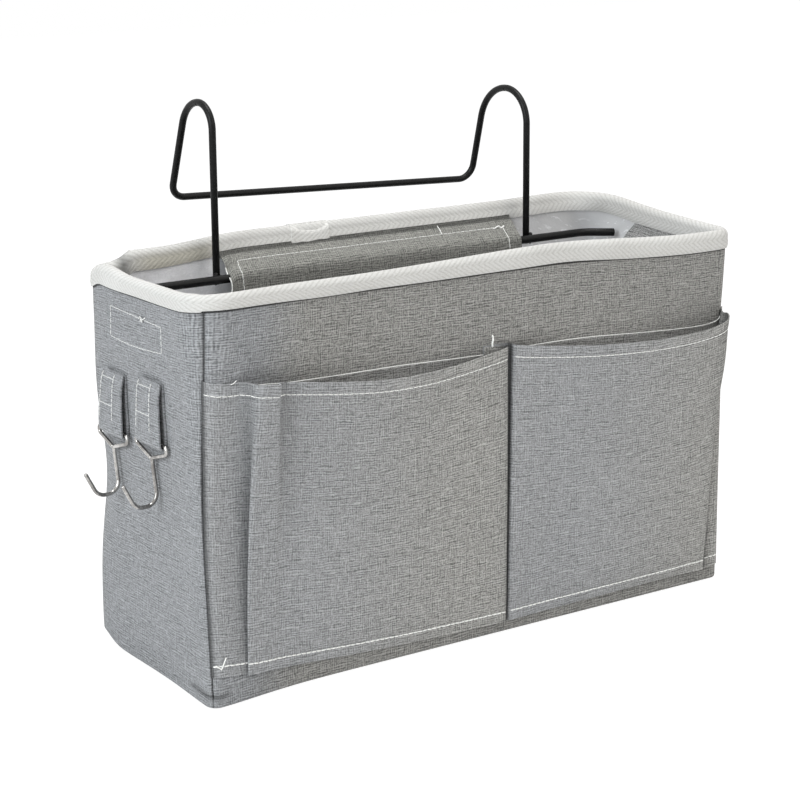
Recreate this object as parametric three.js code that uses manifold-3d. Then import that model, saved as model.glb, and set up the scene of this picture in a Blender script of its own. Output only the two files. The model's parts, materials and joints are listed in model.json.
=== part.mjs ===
// Bedside caddy: a cloth basket with stiffened walls, a taped rim and two front pockets.
// A wire bracket hangs it on a bed rail; a flap inside the back wall holds the bracket's bar.
// Millimetres, +Z up. The origin is the middle of the base, the front faces -Y and the bed is at +Y.

import * as THREE from "three";
import { mergeVertices } from "three/addons/utils/BufferGeometryUtils.js";
import Module from "manifold-3d";

const wasm = await Module();
wasm.setup();

// Clearance between pieces that touch, and how finely round stretches are divided.
const GAP = 0.3;
const ARC_STEPS = 6;
const WIRE_SIDES = 8;

// Basket, outside sizes, and the layers of its walls from the outside in.
const WIDTH = 350;
const DEPTH = 124;
const HEIGHT = 217;
const CORNER_RADIUS = 12;
const CLOTH = 0.9;
const BOARD = 2.4;
const LINING = 0.5;

// Binding tape folded over the rim.
const TAPE = 0.9;
const TAPE_DROP = 11;

// Front pockets: one seam between them, and a strip of cloth from each round corner to the pocket's fold.
const POCKET_BOTTOM = 9;
const POCKET_HEIGHT = 155;
const POCKET_SEAM_X = 14;
const LEFT_STRIP = 11;
const RIGHT_STRIP = 1.5;
const POCKET_FOOT = 2.6;
const POCKET_GAPE = 12;
const POCKET_HEM = 9;

// Patch of tape inside the left wall.
const PATCH_LENGTH = 56;
const PATCH_FROM_BACK = 60;
const PATCH_HEIGHT = 17;
const PATCH_THICKNESS = 1.2;
const PATCH_DROP = 22;

// Wire bracket: two rail hooks joined by a rear cross run, and a bar across the back wall.
const BRACKET_WIRE = 4;
const BRACKET_BAR = 4.8;
const BRACKET_X = 4.3;
const LEG_SPACING = 214.7;
const LEG_END = 1;
const CROSS_BEND = 9;
const BAR_DROP = 18.8;
const BAR_FROM_LINING = 15.6;
const BAR_END_CLEARANCE = 3.6;
const BAR_END_LENGTH = 15;
const BAR_END_FORWARD = 11.5;
const BAR_BEND = 15;
const BRACKET_STEP = 4;

// The two rail hooks are bent a little unevenly: the top's rise above the bar, the radius of its bend, and
// how far the rear leg spreads and drops to the cross run.
const LEFT_RAIL_HOOK = { rise: 95, radius: 14, spread: 21, drop: 56.3 };
const RIGHT_RAIL_HOOK = { rise: 88.5, radius: 20, spread: 16, drop: 58.7 };

// Flap that holds the bar, and its hook-and-loop fastening.
const FLAP = 1.6;
const FLAP_SEAM = 0.5;
const FLAP_SEAM_DROP = 2;
const FLAP_SIDE_CLEARANCE = 4.5;
const FLAP_SLACK = 2;
const FASTENER = 1.5;
const FASTENER_HEIGHT = 25;
const FASTENER_BELOW_BAR = 20;
const FASTENER_MARGIN = 8;
const FLAP_HEM = 4;

// Tabs on the left wall and the wire hooks that hang in them.
const TAB_WIDTH = 26;
const TAB_LENGTH = 33;
const TAB_SEWN = 14;
const TAB_DROP = 57;
const TAB_FROM_BACK = 31;
const TAB_SPACING = 43;
const FRONT_TAB_RAISE = 3.5;
const HOOK_WIRE = 2.2;
const RING_OVERHANG = 3.2;
const RING_BEND = 2;
const RING_SIDE = 4;
const NECK_DROP = 9;
const HOOK_DEPTH = 33;
const HOOK_LEAN = 5;
const HOOK_BOTTOM = 13;
const HOOK_REACH = 19.5;
const HOOK_TIP_RISE = 12.5;
const HOOK_BEND = 7;
const HOOK_STEP = 2;

// Depths below the outside face at which the board, the lining and the inside space begin.
const BOARD_DEPTH = CLOTH + GAP;
const LINING_DEPTH = BOARD_DEPTH + BOARD + GAP;
const WALL = LINING_DEPTH + LINING;
const WALL_TOP = HEIGHT - TAPE - GAP;
const INSIDE_BACK = DEPTH / 2 - WALL;
const FRONT_FACE = -DEPTH / 2 - GAP;
const LEFT_FACE = -WIDTH / 2;

const X = new THREE.Vector3(1, 0, 0);
const Y = new THREE.Vector3(0, 1, 0);
const Z = new THREE.Vector3(0, 0, 1);

// Materials, one new one for each mesh.
const finish = (color, roughness, metalness = 0) => () =>
  new THREE.MeshStandardMaterial({ color, roughness, metalness });
const greyCloth = finish(0x8f908d, 0.9);
const paleLining = finish(0xb9b9c4, 0.6);
const whiteTape = finish(0xe4e1d8, 0.9);
const fibreBoard = finish(0xd9d6cf, 0.8);
const greyFastener = finish(0x7b7c7c, 1.0);
const blackPaint = finish(0x101010, 0.35, 0.3);
const steel = finish(0xc9c9cc, 0.2, 1.0);

const caddy = new THREE.Group();
function piece(name, geometry, material) {
  const mesh = new THREE.Mesh(geometry, material());
  mesh.name = name;
  caddy.add(mesh);
}

// Joining and cutting closed geometries.
function toSolid(geometry) {
  const bare = new THREE.BufferGeometry();
  bare.setAttribute("position", geometry.getAttribute("position"));
  const merged = mergeVertices(bare, 1e-4);
  const vertProperties = merged.getAttribute("position").array;
  const triVerts = new Uint32Array(merged.index.array);
  return new wasm.Manifold(new wasm.Mesh({ numProp: 3, vertProperties, triVerts }));
}

function toGeometry(solid) {
  const { vertProperties, triVerts } = solid.getMesh();
  const geometry = new THREE.BufferGeometry();
  geometry.setAttribute("position", new THREE.BufferAttribute(vertProperties, 3));
  geometry.setIndex(new THREE.BufferAttribute(triVerts, 1));
  geometry.computeVertexNormals();
  return geometry;
}

// A flat shape pushed along one axis, from one place on it to another.
function extrude(shape, from, to) {
  const geometry = new THREE.ExtrudeGeometry(shape, {
    depth: to - from,
    bevelEnabled: false,
    curveSegments: ARC_STEPS,
  });
  return geometry.translate(0, 0, from);
}

// The same with the shape drawn in (y, z) and pushed along X.
function extrudeAlongX(shape, from, to) {
  return extrude(shape, from, to).applyMatrix4(new THREE.Matrix4().makeBasis(Y, Z, X));
}

function polygon(points) {
  return new THREE.Shape(points.map(([u, v]) => new THREE.Vector2(u, v)));
}

// Plan of the basket, drawn in from the outside by an inset (negative for outwards).
function plan(inset) {
  const u = WIDTH / 2 - CORNER_RADIUS;
  const v = DEPTH / 2 - CORNER_RADIUS;
  const radius = CORNER_RADIUS - inset;
  const corners = [[u, -v], [u, v], [-u, v], [-u, -v]];
  const shape = new THREE.Shape();
  corners.forEach(([x, y], i) => {
    shape.absarc(x, y, radius, (i - 1) * Math.PI / 2, i * Math.PI / 2, false);
  });
  shape.closePath();
  return shape;
}

function planRing(outer, inner) {
  const shape = plan(outer);
  shape.holes.push(plan(inner));
  return shape;
}

// The four walls: how far each turns from the back wall, its length, the basket's size across it, and what
// lines it.
const WALLS = {
  back: { turn: 0, length: WIDTH, across: DEPTH, inside: paleLining },
  left: { turn: Math.PI / 2, length: DEPTH, across: WIDTH, inside: greyCloth },
  front: { turn: Math.PI, length: WIDTH, across: DEPTH, inside: paleLining },
  right: { turn: -Math.PI / 2, length: DEPTH, across: WIDTH, inside: greyCloth },
};

// One layer of a wall, from the middle of one round corner to the middle of the next.
function wallLayer({ turn, length, across }, outer, inner, bottom) {
  const u = length / 2 - CORNER_RADIUS;
  const v = across / 2 - CORNER_RADIUS;
  const shape = new THREE.Shape();
  const arc = (side, radius, from, to) => shape.absarc(side * u, v, radius, from, to, from > to);
  const outside = CORNER_RADIUS - outer;
  const inside = CORNER_RADIUS - inner;
  const first = (radius) => Math.PI / 4 + GAP / 2 / radius;
  arc(1, outside, first(outside), Math.PI / 2);
  arc(-1, outside, Math.PI / 2, Math.PI - first(outside));
  arc(-1, inside, Math.PI - first(inside), Math.PI / 2);
  arc(1, inside, Math.PI / 2, first(inside));
  shape.closePath();
  return extrude(shape, bottom, WALL_TOP).rotateZ(turn);
}

for (const [side, wall] of Object.entries(WALLS)) {
  piece(`${side}_outer_panel`, wallLayer(wall, 0, CLOTH, CLOTH + GAP), greyCloth);
  const board = wallLayer(wall, BOARD_DEPTH, BOARD_DEPTH + BOARD, LINING_DEPTH);
  piece(`${side}_stiffener_board`, board, fibreBoard);
  piece(`${side}_lining`, wallLayer(wall, LINING_DEPTH, WALL, WALL + GAP), wall.inside);
}
piece("bottom_outer_panel", extrude(plan(0), 0, CLOTH), greyCloth);
piece("bottom_stiffener_board", extrude(plan(BOARD_DEPTH), BOARD_DEPTH, BOARD_DEPTH + BOARD), fibreBoard);
piece("bottom_lining", extrude(plan(LINING_DEPTH), LINING_DEPTH, WALL), paleLining);

// Binding: a ring over the rim with the walls' thickness cut out from below.
function rimBinding() {
  const ring = extrude(planRing(-GAP - TAPE, WALL + GAP + TAPE), HEIGHT - TAPE_DROP, HEIGHT);
  const channel = extrude(planRing(-GAP, WALL + GAP), HEIGHT - 2 * TAPE_DROP, HEIGHT - TAPE);
  return toGeometry(toSolid(ring).subtract(toSolid(channel)));
}
piece("rim_binding", rimBinding(), whiteTape);

// Pocket: a face that leans out to its mouth between two folds, closed at the foot, and a strip that lies
// on the wall from the outer fold to the corner seam. side is -1 for the left corner and 1 for the right.
const POCKET_MOUTH = POCKET_BOTTOM + POCKET_HEIGHT;

function pocketFace(z) {
  const share = (z - POCKET_BOTTOM) / POCKET_HEIGHT;
  return FRONT_FACE - THREE.MathUtils.lerp(POCKET_FOOT, POCKET_GAPE, share);
}

function pocketStrip(side, fold) {
  const u = side * (WIDTH / 2 - CORNER_RADIUS);
  const v = CORNER_RADIUS - DEPTH / 2;
  const inside = CORNER_RADIUS + GAP;
  const outside = inside + CLOTH;
  const down = -Math.PI / 2;
  const seam = (radius) => down + side * (Math.PI / 4 - GAP / 2 / radius);
  const shape = new THREE.Shape();
  shape.absarc(u, v, outside, seam(outside), down, side > 0);
  shape.lineTo(fold - side * CLOTH, v - outside);
  shape.lineTo(fold - side * CLOTH, v - inside);
  shape.absarc(u, v, inside, down, seam(inside), side < 0);
  shape.closePath();
  return extrude(shape, POCKET_BOTTOM, POCKET_MOUTH);
}

function pocket(side, strip) {
  const inner = POCKET_SEAM_X + side * GAP / 2;
  const fold = side * (WIDTH / 2 - CORNER_RADIUS - strip);
  const [left, right] = [inner, fold].sort((a, b) => a - b);
  const past = POCKET_HEM;
  const floor = POCKET_BOTTOM + POCKET_HEM;
  const outside = polygon([
    [FRONT_FACE, POCKET_BOTTOM],
    [FRONT_FACE, POCKET_MOUTH],
    [pocketFace(POCKET_MOUTH), POCKET_MOUTH],
    [pocketFace(POCKET_BOTTOM), POCKET_BOTTOM],
  ]);
  const inside = polygon([
    [FRONT_FACE + past, floor],
    [FRONT_FACE + past, POCKET_MOUTH + past],
    [pocketFace(POCKET_MOUTH + past) + CLOTH, POCKET_MOUTH + past],
    [pocketFace(floor) + CLOTH, floor],
  ]);
  const shell = toSolid(extrudeAlongX(outside, left, right))
    .subtract(toSolid(extrudeAlongX(inside, left + CLOTH, right - CLOTH)));
  return toGeometry(shell.add(toSolid(pocketStrip(side, fold))));
}
piece("left_pocket", pocket(-1, LEFT_STRIP), greyCloth);
piece("right_pocket", pocket(1, RIGHT_STRIP), greyCloth);

// Patch inside the left wall.
const PATCH_X = LEFT_FACE + WALL + GAP + PATCH_THICKNESS / 2;
const PATCH_Z = HEIGHT - PATCH_DROP - PATCH_HEIGHT / 2;
const patch = new THREE.BoxGeometry(PATCH_THICKNESS, PATCH_LENGTH, PATCH_HEIGHT);
patch.translate(PATCH_X, DEPTH / 2 - PATCH_FROM_BACK, PATCH_Z);
piece("side_patch", patch, whiteTape);

// A wire's middle line: straight runs with an arc at each inner point.
class Arc extends THREE.Curve {
  constructor(centre, from, to) {
    super();
    this.centre = centre;
    this.from = from.clone().sub(centre);
    this.to = to.clone().sub(centre);
    this.sweep = this.from.angleTo(this.to);
  }

  getPoint(t, target = new THREE.Vector3()) {
    const share = (part) => Math.sin(part * this.sweep) / Math.sin(this.sweep);
    return target.copy(this.centre)
      .addScaledVector(this.from, share(1 - t))
      .addScaledVector(this.to, share(t));
  }
}

function bentLine(points, radii) {
  const path = new THREE.CurvePath();
  let start = points[0];
  radii.forEach((radius, i) => {
    const [before, corner, after] = points.slice(i, i + 3);
    const back = before.clone().sub(corner).normalize();
    const ahead = after.clone().sub(corner).normalize();
    const half = back.angleTo(ahead) / 2;
    const middle = back.clone().add(ahead).normalize();
    const from = corner.clone().addScaledVector(back, radius / Math.tan(half));
    const to = corner.clone().addScaledVector(ahead, radius / Math.tan(half));
    path.add(new THREE.LineCurve3(start, from));
    path.add(new Arc(corner.clone().addScaledVector(middle, radius / Math.sin(half)), from, to));
    start = to;
  });
  path.add(new THREE.LineCurve3(start, points.at(-1)));
  return path;
}

function wire(points, radii, diameter, step) {
  const extrudePath = bentLine(points, radii);
  const section = new THREE.Shape();
  section.absarc(0, 0, diameter / 2, 0, 2 * Math.PI);
  return new THREE.ExtrudeGeometry(section, {
    extrudePath,
    steps: Math.ceil(extrudePath.getLength() / step),
    curveSegments: WIRE_SIDES / 2,
    bevelEnabled: false,
  });
}

// Bracket. The legs are welded to the back of the bar, and the rear run hangs behind the bed rail.
const BAR_Y = INSIDE_BACK - BAR_FROM_LINING;
const BAR_Z = HEIGHT - BAR_DROP;
const LEG_Y = BAR_Y + BRACKET_BAR / 2 + GAP + BRACKET_WIRE / 2;

function railHook(x, { rise, radius, spread, drop }) {
  const top = BAR_Z + rise;
  const rear = LEG_Y + 2 * radius;
  const rearTurn = Math.PI / 2 - Math.atan2(spread, drop);
  return {
    points: [
      new THREE.Vector3(x, LEG_Y, BAR_Z - BRACKET_BAR / 2 - LEG_END),
      new THREE.Vector3(x, LEG_Y, top),
      new THREE.Vector3(x, rear, top),
      new THREE.Vector3(x, rear + spread, top - drop),
    ],
    bends: [radius, radius / Math.tan(rearTurn / 2), CROSS_BEND],
  };
}

function bracketFrame() {
  const left = railHook(BRACKET_X - LEG_SPACING / 2, LEFT_RAIL_HOOK);
  const right = railHook(BRACKET_X + LEG_SPACING / 2, RIGHT_RAIL_HOOK);
  const points = [...left.points, ...right.points.reverse()];
  const bends = [...left.bends, ...right.bends.reverse()];
  return wire(points, bends, BRACKET_WIRE, BRACKET_STEP);
}
piece("bracket_frame", bracketFrame(), blackPaint);

function bracketBar() {
  const end = WIDTH / 2 - WALL - BAR_END_CLEARANCE;
  const bend = end - BAR_END_LENGTH;
  const points = [
    new THREE.Vector3(-end, BAR_Y - BAR_END_FORWARD, BAR_Z),
    new THREE.Vector3(-bend, BAR_Y, BAR_Z),
    new THREE.Vector3(bend, BAR_Y, BAR_Z),
    new THREE.Vector3(end, BAR_Y - BAR_END_FORWARD, BAR_Z),
  ];
  return wire(points, [BAR_BEND, BAR_BEND], BRACKET_BAR, BRACKET_STEP);
}
piece("bracket_bar", bracketBar(), blackPaint);

// Flap. It leaves its seam below the binding, passes close over the front of the bar and comes back to the
// wall under it, where the fastening holds it. Its round top edge is the line that it turns about.
const FLAP_LEFT = BRACKET_X - LEG_SPACING / 2 + BRACKET_WIRE / 2 + FLAP_SIDE_CLEARANCE;
const FLAP_RIGHT = BRACKET_X + LEG_SPACING / 2 - BRACKET_WIRE / 2 - FLAP_SIDE_CLEARANCE;
const LOOP_BACK = INSIDE_BACK - GAP;
const HOOK_BACK = LOOP_BACK - FASTENER - GAP;
const FASTENER_TOP = BAR_Z - FASTENER_BELOW_BAR;

function retainingFlap() {
  const half = FLAP / 2;
  const seamBack = INSIDE_BACK - GAP - FLAP_SEAM;
  const seam = new THREE.Vector2(seamBack - half, HEIGHT - TAPE_DROP - FLAP_SEAM_DROP - half);
  const bar = new THREE.Vector2(BAR_Y, BAR_Z);
  const clear = BRACKET_BAR / 2 + GAP + half;
  const front = bar.x - clear;
  const toBar = bar.clone().sub(seam);
  const angle = toBar.angle() - Math.asin(clear / toBar.length());
  const over = seam.y + (front - seam.x) * Math.tan(angle);
  const back = HOOK_BACK - FASTENER - GAP - half;
  const line = [
    seam,
    new THREE.Vector2(front, over),
    new THREE.Vector2(front, bar.y - clear - FLAP_SLACK),
    new THREE.Vector2(back, FASTENER_TOP + FLAP_HEM),
    new THREE.Vector2(back, FASTENER_TOP - FASTENER_HEIGHT - FLAP_HEM),
  ];
  return extrudeAlongX(sheetOutline(line, half), FLAP_LEFT, FLAP_RIGHT);
}

// Outline of a sheet with the given middle line, with a round start.
function sheetOutline(line, half) {
  const runs = line.slice(1).map((point, i) => point.clone().sub(line[i]).normalize());
  const normals = runs.map((run) => new THREE.Vector2(-run.y, run.x));
  const edge = (side) => line.map((point, i) => {
    const before = normals[Math.max(i - 1, 0)];
    const after = normals[Math.min(i, normals.length - 1)];
    const mitre = before.clone().add(after).normalize();
    return point.clone().addScaledVector(mitre, side * half / mitre.dot(after));
  });
  const turn = normals[0].angle();
  const shape = new THREE.Shape();
  shape.absarc(line[0].x, line[0].y, half, turn, turn + Math.PI, false);
  edge(-1).slice(1).forEach((point) => shape.lineTo(point.x, point.y));
  edge(1).slice(1).reverse().forEach((point) => shape.lineTo(point.x, point.y));
  shape.closePath();
  return shape;
}
piece("retaining_flap", retainingFlap(), greyCloth);

function fastenerStrip(back) {
  const strip = polygon([
    [back, FASTENER_TOP],
    [back - FASTENER, FASTENER_TOP],
    [back - FASTENER, FASTENER_TOP - FASTENER_HEIGHT],
    [back, FASTENER_TOP - FASTENER_HEIGHT],
  ]);
  return extrudeAlongX(strip, FLAP_LEFT + FASTENER_MARGIN, FLAP_RIGHT - FASTENER_MARGIN);
}
piece("wall_loop_tape", fastenerStrip(LOOP_BACK), greyFastener);
piece("flap_hook_tape", fastenerStrip(HOOK_BACK), greyFastener);

// Tab: a strap folded round the hook's ring, its two layers sewn together at the top. Drawn in (z, out),
// where out is the distance from the left wall, and pushed along Y.
const RING_OUT = GAP + CLOTH + GAP + HOOK_WIRE / 2;

function hookTab({ middle, ring }) {
  const top = ring + TAB_LENGTH;
  const inner = HOOK_WIRE / 2 + GAP;
  const shape = new THREE.Shape();
  const [front, back] = [Math.PI / 2, 3 * Math.PI / 2];
  shape.absarc(ring, RING_OUT, inner + CLOTH, front, back, false);
  shape.lineTo(top, GAP);
  shape.lineTo(top, GAP + 2 * CLOTH);
  shape.closePath();
  const eye = new THREE.Path();
  eye.absarc(ring, RING_OUT, inner, front, back, false);
  eye.lineTo(top - TAB_SEWN, GAP + CLOTH);
  eye.closePath();
  shape.holes.push(eye);
  const outwards = X.clone().negate();
  const basis = new THREE.Matrix4().makeBasis(Z, outwards, Y.clone().negate());
  return extrude(shape, -TAB_WIDTH / 2, TAB_WIDTH / 2).applyMatrix4(basis).translate(LEFT_FACE, middle, 0);
}

// Hook: a ring with sloping shoulders, a stem that leans forward and a wide upturned end, of one wire.
function wireHook({ middle, ring }) {
  const at = (y, out, drop) => new THREE.Vector3(LEFT_FACE - RING_OUT - out, middle + y, ring - drop);
  const half = TAB_WIDTH / 2 + RING_OVERHANG;
  const points = [
    at(HOOK_WIRE / 2 + GAP, 0, NECK_DROP),
    at(half, 0, RING_SIDE),
    at(half, 0, 0),
    at(-half, 0, 0),
    at(-half, 0, RING_SIDE),
    at(0, 0, NECK_DROP),
    at(-HOOK_LEAN, 0, HOOK_DEPTH),
    at(-HOOK_LEAN, HOOK_BOTTOM, HOOK_DEPTH),
    at(-HOOK_LEAN, HOOK_REACH, HOOK_DEPTH - HOOK_TIP_RISE),
  ];
  const bends = [RING_BEND, RING_BEND, RING_BEND, RING_BEND, RING_BEND, HOOK_BEND, HOOK_BEND];
  return wire(points, bends, HOOK_WIRE, HOOK_STEP);
}

// Each tab's middle along the wall and the height of its hook's ring.
const REAR_TAB = { middle: DEPTH / 2 - TAB_FROM_BACK, ring: HEIGHT - TAB_DROP - TAB_LENGTH };
const FRONT_TAB = { middle: REAR_TAB.middle - TAB_SPACING, ring: REAR_TAB.ring + FRONT_TAB_RAISE };
for (const [place, tab] of Object.entries({ rear: REAR_TAB, front: FRONT_TAB })) {
  piece(`hook_tab_${place}`, hookTab(tab), greyCloth);
  piece(`wire_hook_${place}`, wireHook(tab), steel);
}

export default caddy;
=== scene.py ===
# %% [markdown]
# # A bedside caddy in cloth and wire
#
# The caddy is a cloth basket whose walls are stiffened with board and lined, with tape folded over its
# rim. A black wire bracket hangs it on a bed rail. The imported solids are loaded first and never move:
# each piece below is made where its solid is, rides on that solid's body and stands for it in the
# picture.

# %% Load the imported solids
import json
import math

import bpy
import numpy as np
from mathutils import Matrix, Vector


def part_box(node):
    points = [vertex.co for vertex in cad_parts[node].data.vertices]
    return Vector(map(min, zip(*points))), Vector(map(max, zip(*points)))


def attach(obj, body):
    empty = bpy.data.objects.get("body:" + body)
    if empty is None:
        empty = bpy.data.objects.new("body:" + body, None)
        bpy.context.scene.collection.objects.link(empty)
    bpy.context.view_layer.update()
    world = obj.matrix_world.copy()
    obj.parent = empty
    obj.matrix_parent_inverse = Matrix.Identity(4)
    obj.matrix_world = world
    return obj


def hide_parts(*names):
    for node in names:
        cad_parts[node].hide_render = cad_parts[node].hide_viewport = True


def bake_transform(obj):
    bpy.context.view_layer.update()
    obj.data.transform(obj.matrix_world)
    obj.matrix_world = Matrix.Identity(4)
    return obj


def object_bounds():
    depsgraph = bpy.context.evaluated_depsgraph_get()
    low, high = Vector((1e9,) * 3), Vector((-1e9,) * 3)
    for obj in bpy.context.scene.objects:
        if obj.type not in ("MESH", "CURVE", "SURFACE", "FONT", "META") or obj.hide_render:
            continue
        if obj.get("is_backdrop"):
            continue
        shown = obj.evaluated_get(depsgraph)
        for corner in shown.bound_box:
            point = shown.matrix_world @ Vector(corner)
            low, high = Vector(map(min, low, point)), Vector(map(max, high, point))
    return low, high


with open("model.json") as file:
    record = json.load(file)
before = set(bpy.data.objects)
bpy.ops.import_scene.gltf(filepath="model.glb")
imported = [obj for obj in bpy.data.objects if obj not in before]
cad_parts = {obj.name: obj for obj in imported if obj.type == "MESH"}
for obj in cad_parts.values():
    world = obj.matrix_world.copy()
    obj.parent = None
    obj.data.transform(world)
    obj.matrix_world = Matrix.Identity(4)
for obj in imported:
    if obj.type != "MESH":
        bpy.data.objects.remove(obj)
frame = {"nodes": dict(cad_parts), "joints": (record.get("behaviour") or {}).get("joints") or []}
cad_low, cad_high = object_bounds()
MM = 0.001
FULL_TURN, QUARTER_TURN = math.tau, math.pi / 2


def solid_box(node):
    """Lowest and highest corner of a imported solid, in millimetres."""
    low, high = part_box(node)
    return np.array(low) / MM, np.array(high) / MM


print("solids:", len(frame["nodes"]), "box in mm:", [round(x / MM) for x in cad_high - cad_low])

# %% [markdown]
# ## The camera
#
# A camera is described by where it stands and how long its lens is. The photograph's straight edges give
# both: the lens is long, so the box's far side is hardly smaller than its near side. Angles and distances
# are kept as plain values, and the camera's matrix is put together from its own right, up and back
# directions.

# %% Camera
PHOTO_PIXELS = 800
FOCAL_PIXELS = 2142
SENSOR = 36
AZIMUTH, ELEVATION, ROLL = (math.radians(angle) for angle in (-34.46, 14.14, 0.47))
DISTANCE, SIDEWAYS, RAISED = 1243.9, -11.2, 119.7


def photo_camera():
    flat = math.cos(ELEVATION)
    back = Vector((math.sin(AZIMUTH) * flat, -math.cos(AZIMUTH) * flat, math.sin(ELEVATION)))
    right = Vector((math.cos(AZIMUTH), math.sin(AZIMUTH), 0))
    up = back.cross(right)
    place = back * DISTANCE + right * SIDEWAYS + up * RAISED
    rolled_right = right * math.cos(ROLL) - up * math.sin(ROLL)
    rolled_up = right * math.sin(ROLL) + up * math.cos(ROLL)
    camera = bpy.data.objects.new("photo_camera", bpy.data.cameras.new("photo_camera"))
    camera.data.sensor_width = SENSOR
    camera.data.lens = FOCAL_PIXELS * SENSOR / PHOTO_PIXELS
    turn = Matrix((rolled_right, rolled_up, back)).transposed().to_4x4()
    camera.matrix_world = Matrix.Translation(place * MM) @ turn
    bpy.context.scene.collection.objects.link(camera)
    return camera


bpy.context.scene.camera = photo_camera()
bpy.context.scene.view_settings.view_transform = "Standard"
print("lens in mm:", round(bpy.context.scene.camera.data.lens, 1))

# %% [markdown]
# ## Shader maths as Python
#
# A node material is a graph, and a graph is slow to read. This small class wraps one output of a node, so
# that `1 - mask * 0.4` adds the two Math nodes that it says. Every other node comes from `node`, which
# takes the node's type, what goes into its sockets and its settings.

# %% Socket class
class Socket:
    """One output in a material's nodes. Operators on it add Math nodes."""

    def __init__(self, tree, plug):
        self.tree, self.plug = tree, plug

    def node(self, kind, inputs=None, output=0, **settings):
        made = self.tree.nodes.new("ShaderNode" + kind)
        for name, value in settings.items():
            setattr(made, name, value)
        for name, value in (inputs or {}).items():
            if isinstance(value, Socket):
                self.tree.links.new(value.plug, made.inputs[name])
            else:
                made.inputs[name].default_value = value
        return Socket(self.tree, made.outputs[output])

    def math(self, operation, first, second=0.0):
        return self.node("Math", {0: first, 1: second}, operation=operation)

    def __add__(self, other):
        return self.math("ADD", self, other)

    def __sub__(self, other):
        return self.math("SUBTRACT", self, other)

    def __rsub__(self, other):
        return self.math("SUBTRACT", other, self)

    def __mul__(self, other):
        return self.math("MULTIPLY", self, other)

    __radd__, __rmul__ = __add__, __mul__

    def between(self, low, high):
        """0 below low, 1 above high, and an eased step from one to the other."""
        inputs = {"Value": self, "From Min": low, "From Max": high}
        return self.node("MapRange", inputs, interpolation_type="SMOOTHSTEP")

    def tint(self, first, second):
        """first where this value is 0, second where it is 1; both are colours."""
        low, high = (end if isinstance(end, Socket) else (*end, 1) for end in (first, second))
        return self.node("Mix", {0: self, 6: low, 7: high}, 2, data_type="RGBA")

    def into(self, shader, name):
        self.tree.links.new(self.plug, shader.inputs[name])


# the point layer named seam holds painted shade, for folds, seams, pleat gaps and the cloth under the tape's
# edge
CLOTH_MAP, PAINTED_SHADE_LAYER = "cloth_lengths", "seam"


class Finish:
    """A material: its shader's constant values, and where on the piece a point is, in millimetres."""

    def __init__(self, name, constants):
        self.material = bpy.data.materials.new(name)
        self.material.use_nodes = True
        tree = self.material.node_tree
        self.shader = tree.nodes["Principled BSDF"]
        for socket, value in constants.items():
            self.shader.inputs[socket].default_value = value
        base = Socket(tree, None)
        lengths = base.node("UVMap", uv_map=CLOTH_MAP)
        self.along, self.across = (base.node("SeparateXYZ", {0: lengths}, axis) for axis in (0, 1))
        self.place = base.node("TexCoord", output="Object")
        self.base = base

    def noise(self, along, across, seed, detail=2.0):
        """Smooth noise on the cloth, with its grains per millimetre along and across."""
        at = self.base.node("CombineXYZ", {0: self.along * along, 1: self.across * across, 2: seed})
        return self.base.node("TexNoise", {"Vector": at, "Scale": 1.0, "Detail": detail})

    def grain(self, per_metre, detail=2.0):
        """Smooth noise through the piece's own space."""
        return self.base.node("TexNoise", {"Vector": self.place, "Scale": per_metre, "Detail": detail})

    def shade(self):
        """The painted shade that each piece carries at its points, in folds, seams, gaps and under the tape.
        """
        return self.base.node("Attribute", output="Fac", attribute_name=PAINTED_SHADE_LAYER)

    def bump(self, height, depth, strength=1.0):
        """Turns a height from 0 to 1 into a tilt of the surface; depth is in millimetres."""
        inputs = {"Height": height, "Distance": depth * MM, "Strength": strength}
        self.base.node("Bump", inputs).into(self.shader, "Normal")

    def paint(self, colour, roughness, slot):
        """The finished material, and the name of a slot."""
        colour.into(self.shader, "Base Color")
        roughness.into(self.shader, "Roughness")
        return self.material, slot


print("shader helpers ready")

# %% [markdown]
# ## Grey cloth
#
# The cloth is a linen and cotton weave. Its threads are uneven: each is thicker in some places, which
# shows as short pale dashes, mostly along the weft. A fine wave across each thread direction gives the
# threads, and noise stretched along them says where one is thick and lets it slip sideways, so that
# nothing repeats. The lengths come from a map that each piece carries in millimetres, so the weave has
# one scale on every piece.

# %% Grey cloth
WEFT, WARP = 1.4, 1.3
THREAD_TONES = 0.42, 1.62, 2.0
CLOTH_SHADOW = 0.018, 0.018, 0.018
# BACKING_GREY is the grey cloth made lighter: painted light where it lies in shade, behind the pockets and
# inside the short walls
BACKING_GREY, FLAP_GREY = (0.290, 0.288, 0.278), (0.168, 0.167, 0.153)


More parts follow.
